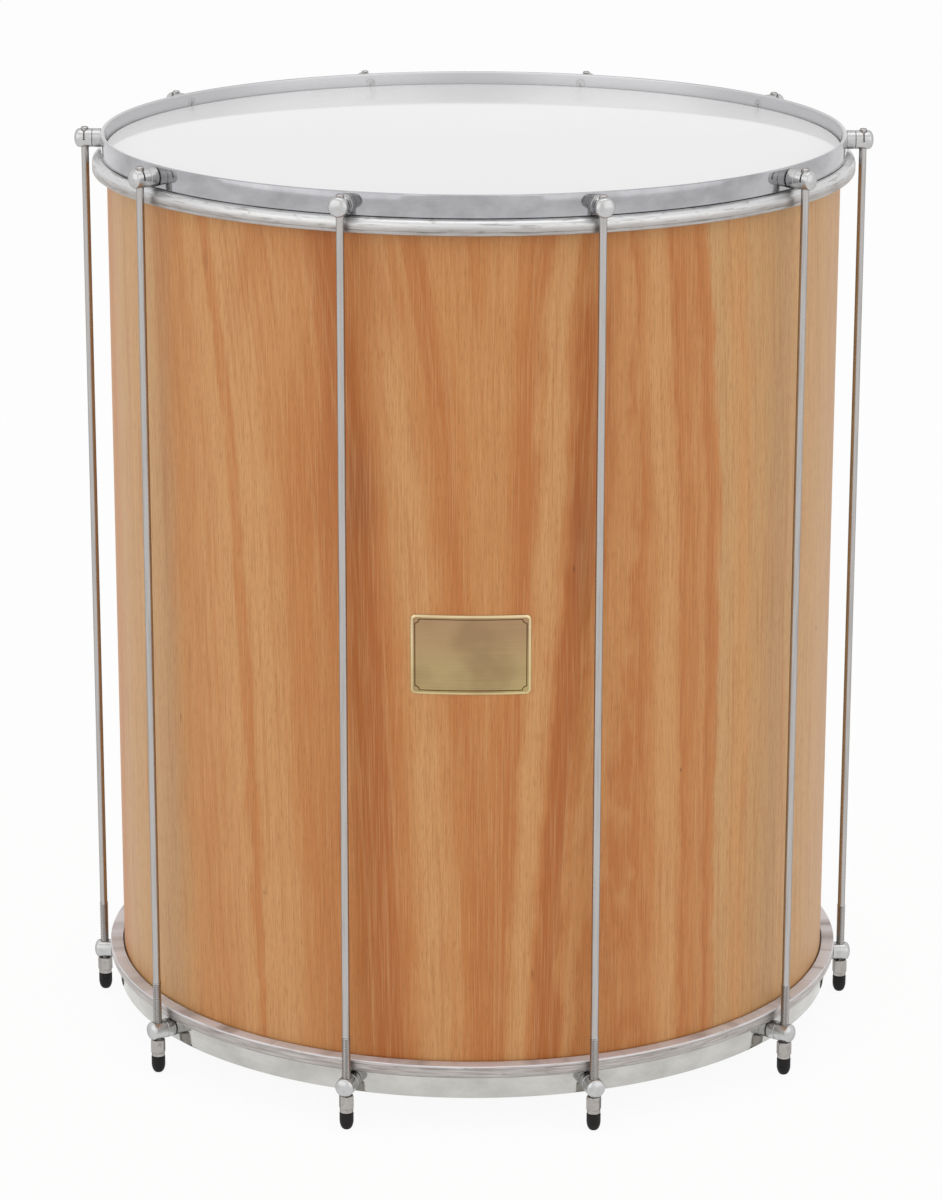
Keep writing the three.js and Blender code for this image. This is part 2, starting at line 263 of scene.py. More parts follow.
# %% Veneer: the rings' tones, with the millimetres at which each one is full
PALE, LIGHT, MID, AMBER, ORANGE, DARK = "#c89c69", "#cd965f", "#c78a52", "#c27f46", "#bb743c", "#b1662f"
LEFT_RINGS = (
    (0, AMBER), (15, AMBER), (20, MID), (33, MID), (40, AMBER), (48, ORANGE), (57, AMBER), (64, MID),
    (71, LIGHT), (80, LIGHT), (86, MID), (93, AMBER), (99, ORANGE), (105, DARK), (117, DARK), (124, ORANGE),
    (130, AMBER), (162, AMBER), (170, MID), (176, LIGHT), (198, LIGHT), (202, AMBER), (207, AMBER),
    (212, LIGHT), (222, LIGHT), (231, MID), (250, MID), (270, PALE), (300, PALE),
)
RIGHT_RINGS = (
    (0, AMBER), (15, AMBER), (20, MID), (33, MID), (40, AMBER), (46, ORANGE), (53, ORANGE), (57, MID),
    (61, LIGHT), (68, LIGHT), (73, AMBER), (78, DARK), (88, DARK), (91, AMBER), (95, MID), (99, MID),
    (102, ORANGE), (105, AMBER), (109, MID), (115, LIGHT), (121, LIGHT), (127, MID), (131, ORANGE),
    (136, AMBER), (146, MID), (151, ORANGE), (157, AMBER), (164, PALE), (186, LIGHT), (200, PALE),
    (300, PALE),
)
RING_REACH = 300 * MM


def ring_tone(tree, ring, rings):
    turned_back = add(tree, MATH, {0: ring, 1: RING_REACH}, operation="PINGPONG")
    share = add(tree, MATH, {0: turned_back, 1: RING_REACH}, operation="DIVIDE")
    stops = [(place * MM / RING_REACH, tone) for place, tone in rings]
    return set_ramp(add(tree, "ShaderNodeValToRGB", {0: share}), stops)


# %% Veneer: marks
# Blotches and small knots: turn from the front in degrees, height, half width and half height in
# millimetres, strength and tone. The blotches come first, because the knots lie over them.
MARKS = (
    (-28.5, 566, 24, 70, 0.6, LIGHT),
    (-12.5, 578, 20, 60, 0.6, ORANGE),
    (-25.5, 440, 13, 60, 0.5, ORANGE),
    (-16.5, 440, 14, 46, 0.6, "#9c5a33"),
    (-17.0, 330, 10, 50, 0.35, DARK),
    (16.3, 405, 9, 62, 0.6, "#985530"),
    (-21.7, 420, 10, 85, 0.55, DARK),
    (-16.5, 592, 15, 66, 0.75, ORANGE),
    (19.5, 602, 11, 60, 0.7, MID),
    (-36.0, 574, 9, 32, 0.45, ORANGE),
    (33.5, 556, 12, 78, 0.5, ORANGE),
    (150, 470, 11, 70, 0.5, DARK),
    (-140, 210, 13, 90, 0.45, ORANGE),
    (-43.2, 581, 2.2, 8, 0.5, "#9a5f38"),
    (-48.5, 305, 2.0, 16, 0.35, "#9d6a3f"),
    (70.2, 303, 2.4, 2.2, 0.6, "#82603c"),
    (-33.2, 153, 2.2, 2.0, 0.45, "#8a683e"),
    (33.6, 241, 0.9, 1.8, 0.9, "#5f3a20"),
    (15.3, 390, 0.9, 3.5, 0.85, "#5d3318"),
    (-51.2, 260, 0.9, 3.2, 0.7, "#875630"),
    (9.4, 110, 0.9, 4.0, 0.75, "#8a5228"),
    (176, 330, 1.2, 3.0, 0.8, "#6a4226"),
    (-118, 465, 1.0, 2.5, 0.8, "#6a4226"),
)
# Where a mark ends and where it is full: the distance from its centre in half widths, to which
# the ripple times the raggedness is added
MARK_FADE = (1.9, 0.7)
RAGGEDNESS = 1.2


def add_marks(tree, surface, around, height, ripple):
    sheet = add(tree, JOIN_XYZ, {"X": around, "Y": height})
    for turn, up, half_width, half_height, strength, tone in MARKS:
        centre = (math.radians(turn) * SHELL_RADIUS, up * MM, 0.0)
        away = add(tree, VECTOR_MATH, {0: sheet, 1: centre}, operation="SUBTRACT")
        sizes = (1 / (half_width * MM), 1 / (half_height * MM), 0.0)
        scaled = add(tree, VECTOR_MATH, {0: away, 1: sizes}, operation="MULTIPLY")
        distance = add(tree, VECTOR_MATH, {0: scaled}, operation="LENGTH").outputs["Value"]
        ragged = add(tree, MATH, {0: ripple, 1: RAGGEDNESS, 2: distance}, operation="MULTIPLY_ADD")
        lay_where(tree, surface, ragged, *MARK_FADE, tone, strength, interpolation_type="SMOOTHSTEP")


# %% Veneer: rings, streaks, fibres and lacquer
# The rings wander slowly, curl, and ripple at their edges. Each wave has its width and height on
# the sheet, its noise's detail and offset, and how far it moves the rings; lengths in millimetres.
WANDER, CURL, RIPPLE = (60, 260, 1.0, 3.1, 12), (18, 34, 2.0, 9.3, 11), (9, 70, 3.0, 7.7, 6)
FIBRE_WIDTH, FIBRE_LENGTH, FIBRE_DEPTH = 0.6 * MM, 13 * MM, 0.04 * MM


def veneer():
    """Softwood under satin lacquer: warm bands with fine upright fibres, and a soft sheen only."""
    values = {"Roughness": 0.42, "IOR": 1.5, "Specular_IOR_Level": 0.3}
    material, tree, surface = new_material("satin lacquered rotary-cut veneer", **values)
    around, height = sheet_place(tree)
    moved, is_right, flow = ring_place(tree, around, height)
    for wide, tall, detail, offset, reach in (WANDER, CURL, RIPPLE):
        wave = stretched(tree, around, height, wide * MM, tall * MM, detail, offset)
        moved = add(tree, MATH, {0: wave, 1: reach * MM, 2: moved}, operation="MULTIPLY_ADD")
    half_reach = (WANDER[-1] + CURL[-1] + RIPPLE[-1]) / 2 * MM
    moved = add(tree, MATH, {0: moved, 1: half_reach}, operation="SUBTRACT")
    left, right = ring_tone(tree, moved, LEFT_RINGS), ring_tone(tree, moved, RIGHT_RINGS)
    rings = add(tree, "ShaderNodeMix", {0: is_right, 6: left, 7: right}, data_type="RGBA")
    tree.links.new(rings.outputs[2], surface.inputs["Base Color"])
    # The last wave, the ripple, also makes the marks ragged
    add_marks(tree, surface, around, height, wave)
    # Streaks of light and dark wood follow the rings, and fibres run straight up. A fibre is thinner
    # than a pixel, so it is drawn 0.6 mm wide.
    layers = (
        (flow, 5.0, 240, 3.0, 1.3, (0.52, 0.70, 0.38), "#d2a06a"),
        (flow, 3.2, 150, 3.0, 4.4, (0.52, 0.70, 0.36), "#b06a35"),
        (flow, 1.5, 70, 2.0, 6.1, (0.55, 0.75, 0.22), "#cf9a64"),
        (around, 0.6, 8, 1.0, 2.2, (0.50, 0.72, 0.36), "#98602f"),
        (around, 0.6, 45, 1.0, 8.8, (0.50, 0.68, 0.32), "#a3663a"),
        (around, 0.8, 60, 1.0, 5.2, (0.52, 0.70, 0.28), "#d6a673"),
    )
    for across, wide, tall, detail, offset, (start, full, most), tone in layers:
        noise = stretched(tree, across, height, wide * MM, tall * MM, detail, offset)
        lay_where(tree, surface, noise, start, full, tone, most)
    fibre = stretched(tree, around, height, FIBRE_WIDTH, FIBRE_LENGTH, 1.0, 2.2)
    raise_grain(tree, surface, fibre, 0.2, FIBRE_DEPTH)
    return material


print("veneer:", len(LEFT_RINGS) + len(RIGHT_RINGS), "ring tones,", len(MARKS), "marks")

# %% [markdown]
# ## The metals
# Polished steel bands, aluminium rings that have tarnished, drawn steel rods, and turned steel
# lugs and nuts differ in how dull they are, in the way the tool went over them and in what
# handling left on them. One function lays a dark, rough tone over a light, smooth one in
# clouds that are drawn out along the tool's way. Each metal's own function says which.

# %% Where the clouds lie: on a ring round the drum, or in a piece's own space


def on_ring(tree, wide, tall):
    around, height = sheet_place(tree)
    across = add(tree, MATH, {0: around, 1: 1 / wide}, operation="MULTIPLY")
    along = add(tree, MATH, {0: height, 1: 1 / tall}, operation="MULTIPLY")
    return add(tree, JOIN_XYZ, {"X": across, "Y": along})


def in_space(tree, wide, tall):
    place = add(tree, "ShaderNodeTexCoord").outputs["Object"]
    scale = (1 / wide, 1 / wide, 1 / tall)
    return add(tree, VECTOR_MATH, {0: place, 1: scale}, operation="MULTIPLY")


# %% Clouded metal
METAL_GRAIN, METAL_GRAIN_DEPTH = 0.4 * MM, 0.01 * MM
GRAIN_SHARE = 0.25


def clouded_metal(name, tones, roughness, clouds, contrast, edge="#ffffff"):
    """Bare metal with a light and a dark tone, and the roughness of each. The clouds are given as
    the function that places them, with their width and height in millimetres, and the contrast
    as the values of their noise where a cloud starts and where it is full."""
    # The edge tint darkens the metal's reflection where its surface turns away from view: a painted darker
    # reflection along a piece's outlines
    material, tree, surface = new_material(name, Metallic=1.0, Specular_Tint=linear(edge))
    surface.inputs["Base Color"].default_value = linear(tones[0])
    placing, wide, tall = clouds
    vector = placing(tree, wide * MM, tall * MM)
    noise = add(tree, NOISE, {"Vector": vector, "Scale": 1.0, "Detail": 4.0, "Roughness": 0.6})
    level = lay_where(tree, surface, noise, *contrast, tones[1])
    place = add(tree, "ShaderNodeTexCoord").outputs["Object"]
    fine = add(tree, NOISE, {"Vector": place, "Scale": 1 / METAL_GRAIN, "Detail": 2.0})
    blend = add(tree, MATH, {0: fine, 1: GRAIN_SHARE, 2: level}, operation="MULTIPLY_ADD")
    ends = {"From Max": 1.0 + GRAIN_SHARE, "To Min": roughness[0], "To Max": roughness[1]}
    dullness = add(tree, MAP_RANGE, {"Value": blend, **ends})
    tree.links.new(dullness.outputs[0], surface.inputs["Roughness"])
    raise_grain(tree, surface, fine, 0.5, METAL_GRAIN_DEPTH)
    return material, tree, surface


# %% The bands' steel
INSIDE_FROM, INSIDE_FULL = BAND_INNER + 1 * MM, BAND_INNER + 0.2 * MM


def polished_band_steel(name, outside, inside):
    """Rolled and polished: a nearly mirror-like grey with faint soft clouds, both marks of wiping and a
    painted reflection of the room. The inner side has a tone of its own, a painted reflection, and it is
    duller."""
    material, tree, surface = clouded_metal(name, outside, (0.06, 0.12), (on_ring, 38, 24), (0.36, 0.70))
    radius = from_axis(tree, add(tree, "ShaderNodeTexCoord").outputs["Object"])
    # Painted reflection: the inner face gets a tone of its own, on the upper band a lighter one
    inner = lay_where(tree, surface, radius, INSIDE_FROM, INSIDE_FULL, inside)
    roughen(tree, surface, inner, 0.25)
    return material


# %% The rings' aluminium
# Painted highlight on the edges that face up, the upper ring's rim and the lower ring's heel: how far below
# a ring's upper edge its lighter tone starts, and where it is full
RIM_HIGHLIGHT, HEEL_HIGHLIGHT = (6.5 * MM, 3 * MM), (1.4 * MM, 0.3 * MM)


def tarnished_aluminium():
    """Extruded and dulled by hands and air: soft streaks along the ring, some of them brownish, and a
    painted highlight on its upward-facing edges.
    """
    material, tree, surface = clouded_metal(
        "tarnished extruded aluminium",
        ("#b3afac", "#99928d"),
        (0.32, 0.48),
        (on_ring, 22, 2.5),
        (0.45, 0.78),
    )
    place = add(tree, "ShaderNodeTexCoord").outputs["Object"]
    height = add(tree, SPLIT_XYZ, {0: place}).outputs["Z"]
    rim, heel = high("top_flesh_hoop").z, high("bottom_flesh_hoop").z
    ends = {"From Min": rim - RIM_HIGHLIGHT[0], "From Max": rim - RIM_HIGHLIGHT[1]}
    rim_highlight = add(tree, MAP_RANGE, {"Value": height, **ends})
    ends = {"From Min": heel - HEEL_HIGHLIGHT[0], "From Max": heel - HEEL_HIGHLIGHT[1]}
    heel_highlight = add(tree, MAP_RANGE, {"Value": height, **ends})
    is_lower = add(tree, MATH, {0: height, 1: (rim + heel) / 2}, operation="LESS_THAN")
    lower_heel_highlight = add(tree, MATH, {0: heel_highlight, 1: is_lower}, operation="MULTIPLY")
    rim_and_heel_highlight = add(tree, MATH, {0: rim_highlight, 1: lower_heel_highlight}, operation="MAXIMUM")
    # Painted highlight: the upper ring's rim and the lower ring's heel face up and are made lighter, as if
    # lit from above. The heel is also made duller.
    lay_over(tree, surface, rim_and_heel_highlight, "#d2d2d2")
    lay_over(tree, surface, lower_heel_highlight, "#dfdcde")
    roughen(tree, surface, lower_heel_highlight, 0.35)
    # The rings are streaked along their length: dull lines, and lighter ones where they were wiped.
    # The upper ring, which hands reach, is wiped cleaner, but it has a few darker smudges. Small
    # spots lie on both. Sizes are in millimetres.
    is_upper = add(tree, MATH, {0: 1.0, 1: is_lower}, operation="SUBTRACT")
    streaks = (
        (34, 0.7, 3.0, (0.50, 0.64, 0.55), "#8a7a72", is_lower),
        (26, 0.9, 3.0, (0.50, 0.64, 0.60), "#d3ccc9", is_lower),
        (24, 1.6, 3.0, (0.56, 0.68, 0.60), "#837d79", is_upper),
        (9, 3, 4.0, (0.60, 0.75, 0.60), "#8d827b", 1.0),
    )
    for wide, tall, detail, (start, full, most), tone, where in streaks:
        vector = on_ring(tree, wide * MM, tall * MM)
        noise = add(tree, NOISE, {"Vector": vector, "Scale": 1.0, "Detail": detail})
        ends = {"From Min": start, "From Max": full, "To Max": most}
        level = add(tree, MAP_RANGE, {"Value": noise, **ends})
        on_this_ring = add(tree, MATH, {0: level, 1: where}, operation="MULTIPLY")
        lay_over(tree, surface, on_this_ring, tone)
    return material


# %% [markdown]
# ## Film, rubber and brass
# The heads are white polyester film, moulded and glossy. The feet are moulded rubber, matt
# with a fine grain. The badge is brushed brass: its brush lines run across the plate.

# %% Film


def white_film():
    """Almost white with a faint haze, and glossy enough to mirror the room at a low angle."""
    material, tree, surface = new_material("glossy white polyester film", Roughness=0.05, IOR=1.46)
    surface.inputs["Base Color"].default_value = linear("#ececec")
    place = add(tree, "ShaderNodeTexCoord").outputs["Object"]
    haze = add(tree, NOISE, {"Vector": place, "Scale": 1 / (60 * MM), "Detail": 3.0})
    lay_over(tree, surface, haze, "#e8e8e8")
    fine = add(tree, NOISE, {"Vector": place, "Scale": 1 / (1.5 * MM), "Detail": 2.0})
    raise_grain(tree, surface, fine, 0.1, 0.01 * MM)
    return material


# %% Rubber


def moulded_rubber():
    """Matt and nearly black, with a little dust in its grain and only a weak sheen."""
    values = {"Roughness": 0.58, "IOR": 1.52, "Specular_IOR_Level": 0.22}
    material, tree, surface = new_material("moulded black rubber", **values)
    surface.inputs["Base Color"].default_value = linear("#161414")
    place = add(tree, "ShaderNodeTexCoord").outputs["Object"]
    dust = add(tree, NOISE, {"Vector": place, "Scale": 1 / (2.5 * MM), "Detail": 4.0})
    lay_where(tree, surface, dust, 0.45, 0.75, "#201d1b")
    grain = add(tree, NOISE, {"Vector": place, "Scale": 1 / (0.5 * MM), "Detail": 3.0})
    raise_grain(tree, surface, grain, 0.4, 0.05 * MM)
    return material


# %% Brass
BRUSH_LENGTH, BRUSH_WIDTH, BRUSH_DEPTH = 33.3 * MM, 0.25 * MM, 0.02 * MM


def brushed_brass(name, upper, lower, worn, roughness):
    """Gold brushed along its width, browner towards its upper edge, with fine lines that catch light."""
    material, tree, surface = new_material(name, Metallic=1.0, Roughness=roughness)
    surface.inputs["Base Color"].default_value = linear(lower)
    place = add(tree, "ShaderNodeTexCoord").outputs["Object"]
    vector = in_space(tree, BRUSH_LENGTH, BRUSH_WIDTH)
    lines = add(tree, NOISE, {"Vector": vector, "Scale": 1.0, "Detail": 3.0})
    height = add(tree, SPLIT_XYZ, {0: place}).outputs["Z"]
    foot, head = low("badge").z, high("badge").z
    lay_where(tree, surface, height, foot, head, upper, interpolation_type="SMOOTHSTEP")
    tarnish = add(tree, NOISE, {"Vector": place, "Scale": 1 / (30 * MM), "Detail": 2.0})
    mixed = add(tree, MATH, {0: lines, 1: 0.35, 2: tarnish}, operation="MULTIPLY_ADD")
    lay_where(tree, surface, mixed, 0.6, 0.9, worn, 0.7)
    raise_grain(tree, surface, lines, 0.35, BRUSH_DEPTH)
    return material


# %% [markdown]
# ## Turned pieces
# Shell, heads, hoops, lugs, rods, nuts and feet are all turned about an axis. Spin or Screw
# would do it, but a small geometry tree does it for all of them with named inputs: a grid
# takes one column for each step of the turn and one row for each point of the outline.

# %% Start and end of a tree


def new_tree(name, inputs):
    tree = bpy.data.node_groups.new(name, "GeometryNodeTree")
    for label, kind in inputs:
        tree.interface.new_socket(label, in_out="INPUT", socket_type=kind)
    tree.interface.new_socket("Mesh", in_out="OUTPUT", socket_type="NodeSocketGeometry")
    print("tree:", name)
    return tree, add(tree, "NodeGroupInput")


def end_tree(tree, given, geometry):
    """Ends a tree in real geometry, without instances, and in the material that it was given."""
    real = add(tree, "GeometryNodeRealizeInstances", {0: geometry})
    finish = {"Geometry": real, "Material": given.outputs["Material"]}
    add(tree, "NodeGroupOutput", {0: add(tree, "GeometryNodeSetMaterial", finish)})
    return tree


# %% Tree: a turned piece
OBJECT, WHOLE, NUMBER, FINISH = "NodeSocketObject", "NodeSocketInt", "NodeSocketFloat", "NodeSocketMaterial"
TURNED_INPUTS = [("Outline", OBJECT), ("Points", WHOLE), ("Steps", WHOLE), ("Material", FINISH)]
SEAM = 0.001 * MM


def turned_tree():
    tree, given = new_tree("turned piece", TURNED_INPUTS)
    outline = add(tree, "GeometryNodeObjectInfo", {"Object": given.outputs["Outline"]}).outputs["Geometry"]
    columns = add(tree, MATH, {0: given.outputs["Steps"], 1: 1.0})
    rows = given.outputs["Points"]
    grid = add(tree, "GeometryNodeMeshGrid", {0: 1.0, 1: 1.0, 2: columns, 3: rows}).outputs["Mesh"]
    place = add(tree, "GeometryNodeInputPosition")
    share = add(tree, SPLIT_XYZ, {0: place})
    half_turns = add(tree, MATH, {0: share.outputs["X"], 1: 0.5})
    turn = add(tree, MATH, {0: half_turns, 1: math.tau}, operation="MULTIPLY")
    last_row = add(tree, MATH, {0: rows, 1: 1.0}, operation="SUBTRACT")
    rise = add(tree, MATH, {0: share.outputs["Y"], 1: 0.5})
    row = add(tree, MATH, {0: rise, 1: last_row}, operation="MULTIPLY")
    whole_row = add(tree, MATH, {0: row}, operation="ROUND")
    point = add(tree, "GeometryNodeSampleIndex", data_type="FLOAT_VECTOR")
    tree.links.new(outline, point.inputs["Geometry"])
    tree.links.new(place.outputs[0], point.inputs["Value"])
    tree.links.new(whole_row.outputs[0], point.inputs["Index"])
    drawn = add(tree, SPLIT_XYZ, {0: point})
    cosine = add(tree, MATH, {0: turn}, operation="COSINE")
    sine = add(tree, MATH, {0: turn}, operation="SINE")
    x = add(tree, MATH, {0: drawn.outputs["X"], 1: cosine}, operation="MULTIPLY")
    y = add(tree, MATH, {0: drawn.outputs["X"], 1: sine}, operation="MULTIPLY")
    turned = add(tree, JOIN_XYZ, {0: x, 1: y, 2: drawn.outputs["Z"]})
    moved = add(tree, "GeometryNodeSetPosition", {"Geometry": grid, "Position": turned})
    closed = add(tree, "GeometryNodeMergeByDistance", {"Geometry": moved, "Distance": SEAM})
    return end_tree(tree, given, closed)


TURNED = turned_tree()

# %% [markdown]
# A tree is run on an empty carrier object. Its inputs are set by the sockets' identifiers
# before the object is first evaluated, and the result is copied into a plain mesh.

# %% Run a tree and keep its mesh


def grow(name, tree, **inputs):
    carrier = in_scene(name, bpy.data.meshes.new(name))
    modifier = carrier.modifiers.new("shape", "NODES")
    modifier.node_group = tree
    for item in tree.interface.items_tree:
        label = item.name.replace(" ", "_")
        if item.in_out == "INPUT" and label in inputs:
            modifier[item.identifier] = inputs[label]
    evaluated = carrier.evaluated_get(bpy.context.evaluated_depsgraph_get())
    mesh = bpy.data.meshes.new_from_object(evaluated)
    carrier.modifiers.remove(modifier)
    carrier.data = mesh
    mesh.name = name
    return carrier


def smooth(obj, crease=32):
    """Smooth shading, with an edge kept sharp where the surface turns by more than crease degrees."""
    obj.data.shade_smooth()
    obj.data.set_sharp_from_angle(angle=math.radians(crease))
    return obj


def drawn_outline(name, points):
    mesh = bpy.data.meshes.new(name)
    mesh.from_pydata([(radius, 0.0, height) for radius, height in points], [], [])
    return bpy.data.objects.new(name, mesh)


def turned(name, points, steps, material, tree=TURNED, **inputs):
    """Turns an outline of (radius, height) points, anticlockwise with the radius to the right, about Z."""
    outline = drawn_outline(name + " outline", points)
    made = grow(name, tree, Outline=outline, Points=len(points), Steps=steps, Material=material, **inputs)
    bpy.data.objects.remove(outline)
    print(f"{name}: {len(made.data.polygons)} faces")
    return smooth(made)


def arc(centre, radius, start, end, steps, squash=1.0):
    """Points on an arc between two angles in degrees, squash times as high as wide."""
    angles = [math.radians(start + (end - start) * step / steps) for step in range(steps + 1)]
    return [(centre[0] + radius * math.cos(a), centre[1] + radius * squash * math.sin(a)) for a in angles]


# %% [markdown]
# ## Shell and heads
# The shell is a plywood tube. Its bearing edges are rounded outside, and each head bends over
# one of them. A head is a thin film with a collar that runs down to its hem. The two heads
# are alike, so the lower one is the upper one's outline turned upside down.

# %% Shell
RING_STEPS = 240
SHELL_WALL = 7 * MM
EDGE_ROUND = 1.6 * MM
CREST = 1.4 * MM
SHELL_LOW, SHELL_HIGH = low("shell").z, high("shell").z
EDGE_BEVEL = SHELL_WALL - EDGE_ROUND - CREST


def shell_section():
    inner = SHELL_RADIUS - SHELL_WALL
    centre = SHELL_RADIUS - EDGE_ROUND
    lower = arc((centre, SHELL_LOW + EDGE_ROUND), EDGE_ROUND, -90, 0, 6)
    upper = arc((centre, SHELL_HIGH - EDGE_ROUND), EDGE_ROUND, 0, 90, 6)
    inside = [
        (centre - CREST, SHELL_HIGH),
        (inner, SHELL_HIGH - EDGE_BEVEL),
        (inner, SHELL_LOW + EDGE_BEVEL),
        (centre - CREST, SHELL_LOW),
    ]
    return [*lower, *upper, *inside, lower[0]]


shell = turned("veneered_shell", shell_section(), RING_STEPS, veneer())

# %% Heads
SEAT_GAP = 0.3 * MM
FILM = 0.5 * MM
HEM_WIDTH = 1.5 * MM
MIDDLE_HEIGHT = (SHELL_LOW + SHELL_HIGH) / 2


def flipped(points):
    """The same outline at the other end of the drum, still anticlockwise."""
    return [(radius, 2 * MIDDLE_HEIGHT - height) for radius, height in reversed(points)]


def head_section():
    bend = (SHELL_RADIUS - EDGE_ROUND, SHELL_HIGH - EDGE_ROUND)
    inside = arc(bend, EDGE_ROUND + SEAT_GAP, 90, 0, 8)
    outside = arc(bend, EDGE_ROUND + SEAT_GAP + FILM, 0, 90, 8)
    hem = low("top_head").z
    collar = SHELL_RADIUS + SEAT_GAP
    hem_points = [
        (collar, hem),
        (collar + FILM + HEM_WIDTH, hem),
        (collar + FILM + HEM_WIDTH, hem + FILM),
        (collar + FILM, hem + FILM),
    ]
    return [(0.0, SHELL_HIGH + SEAT_GAP), *inside, *hem_points, *outside, (0.0, high("top_head").z)]


film = white_film()
top_head = turned("top_head_film", head_section(), RING_STEPS, film)
bottom_head = turned("bottom_head_film", flipped(head_section()), RING_STEPS, film)

# %% [markdown]
# ## Hoops
# A flesh hoop is an extruded ring: a round rim under the counterhoop, a straight side, a thin
# bead line and a square heel. A counterhoop is a flat steel band with its corners broken, and
# with a countersunk hole for each lug screw.

# %% Flesh hoops
RIM_ROUND = 5.5 * MM
HEEL_ROUND = 0.9 * MM
BEAD_DOWN = 2.4 * MM
BEAD = 0.22 * MM
FLESH_LOW, FLESH_HIGH = low("top_flesh_hoop").z, high("top_flesh_hoop").z
HEM_GROOVE = (low("top_head").z - SEAT_GAP, low("top_head").z + FILM + SEAT_GAP)
BORE = BAND_INNER


def flesh_section():
    side = FLESH_OUTER
    heel = arc((side - HEEL_ROUND, FLESH_LOW + HEEL_ROUND), HEEL_ROUND, -90, 0, 5)
    bead = [
        (side, FLESH_LOW + BEAD_DOWN - BEAD),
        (side - BEAD, FLESH_LOW + BEAD_DOWN),
        (side, FLESH_LOW + BEAD_DOWN + BEAD),
    ]
    rim = arc((side - RIM_ROUND, FLESH_HIGH - RIM_ROUND), RIM_ROUND, 0, 90, 10)
    groove = SHELL_RADIUS + SEAT_GAP + FILM + HEM_WIDTH + SEAT_GAP
    inside = [
        (BORE, FLESH_HIGH),
        (BORE, HEM_GROOVE[1]),
        (groove, HEM_GROOVE[1]),
        (groove, HEM_GROOVE[0]),
        (BORE, HEM_GROOVE[0]),
        (BORE, FLESH_LOW),
    ]
    return [*heel, *bead, *rim, *inside, heel[0]]


aluminium = tarnished_aluminium()
top_flesh = turned("top_flesh_ring", flesh_section(), RING_STEPS, aluminium)
bottom_flesh = turned("bottom_flesh_ring", flipped(flesh_section()), RING_STEPS, aluminium)

# %% Cutting with a solid


def cut(target, *cutters):
    """Cuts each cutter out of the target, and removes it."""
    for cutter in cutters:
        modifier = target.modifiers.new("cut", "BOOLEAN")
        modifier.operation = "DIFFERENCE"
        modifier.solver = "EXACT"
        modifier.object = cutter
        evaluated = target.evaluated_get(bpy.context.evaluated_depsgraph_get())
        mesh = bpy.data.meshes.new_from_object(evaluated)
        target.modifiers.remove(modifier)
        target.data = mesh
        bpy.data.objects.remove(cutter)
    return smooth(target)


# %% [markdown]
# ## What stands at ten stations
# Lugs, rods, nuts and feet repeat ten times round the drum. One piece is made at angle zero,
# and a tree sets a copy of it at each station. It can also make one station alone, because
# the nuts and feet each move with a body of their own.

# %% Tree: copies round the drum
# Each point keeps its place on the piece at angle zero under this name. A material that has to
# find the line on a lug or the thread of a rod reads it on every copy.
OWN_PLACE = "own_place"


def stations_tree():
    counts = [("Stations", WHOLE), ("First", WHOLE), ("Made", WHOLE)]
    inputs = [("Piece", OBJECT), *counts, ("Start", NUMBER), ("Material", FINISH)]
    tree, given = new_tree("pieces round the drum", inputs)
    piece = add(tree, "GeometryNodeObjectInfo", {"Object": given.outputs["Piece"]}).outputs["Geometry"]
    place = add(tree, "GeometryNodeInputPosition")
    marked = add(tree, "GeometryNodeStoreNamedAttribute", {"Name": OWN_PLACE}, data_type="FLOAT_VECTOR")
    tree.links.new(piece, marked.inputs["Geometry"])
    tree.links.new(place.outputs[0], marked.inputs["Value"])
    points = add(tree, "GeometryNodePoints", {"Count": given.outputs["Made"], "Position": (0.0, 0.0, 0.0)})
    index = add(tree, "GeometryNodeInputIndex")
    station = add(tree, MATH, {0: index, 1: given.outputs["First"]})
    step = add(tree, MATH, {0: math.tau, 1: given.outputs["Stations"]}, operation="DIVIDE")
    angle = add(tree, MATH, {0: station, 1: step, 2: given.outputs["Start"]}, operation="MULTIPLY_ADD")
    rotation = add(tree, "FunctionNodeAxisAngleToRotation", {"Axis": (0.0, 0.0, 1.0), "Angle": angle})
    set_out = {"Points": points, "Instance": marked, "Rotation": rotation}
    return end_tree(tree, given, add(tree, "GeometryNodeInstanceOnPoints", set_out))


ROUND_THE_DRUM = stations_tree()


def round_the_drum(name, piece, material, first=0, made=STATIONS):
    where = {"Stations": STATIONS, "First": first, "Made": made, "Start": FIRST_STATION}
    copies = grow(name, ROUND_THE_DRUM, Piece=piece, Material=material, **where)
    print(f"{name}: {made} x {len(piece.data.polygons)} faces")
    return copies


def placed(obj, *steps):
    """Applies the matrices to the mesh, the last one first, so that the object stays at the origin."""
    for step in reversed(steps):
        obj.data.transform(step)
    return obj


ALONG_X, ALONG_Y = Matrix.Rotation(math.radians(90), 4, "Y"), Matrix.Rotation(math.radians(90), 4, "X")
ON_ROD_CIRCLE = Matrix.Translation((ROD_CIRCLE, 0.0, 0.0))

# %% Countersunk lug screws and their holes
SCREW_STEPS = 24
SCREW_RADIUS = 2 * MM
SCREW_HEAD_RADIUS = 3.6 * MM
SCREW_RIM = 0.3 * MM
SCREW_HOLE_GAP = 0.1 * MM
RECESS_LENGTH, RECESS_WIDTH, RECESS_DEPTH = 2.8 * MM, 0.7 * MM, 0.6 * MM
# How far a cutter, or the end of a screw inside its lug, runs past what it meets
PAST = 2 * MM
LUG_BASE = BAND_OUTER + SEAT_GAP


def screw_section(head_face, gap, end):
    taper = SCREW_HEAD_RADIUS - SCREW_RADIUS
    rim = BAND_INNER + SCREW_RIM + gap
    return [
        (0.0, head_face),
        (SCREW_HEAD_RADIUS + gap, head_face),
        (SCREW_HEAD_RADIUS + gap, rim),
        (SCREW_RADIUS + gap, rim + taper),
        (SCREW_RADIUS + gap, end),
        (0.0, end),
    ]


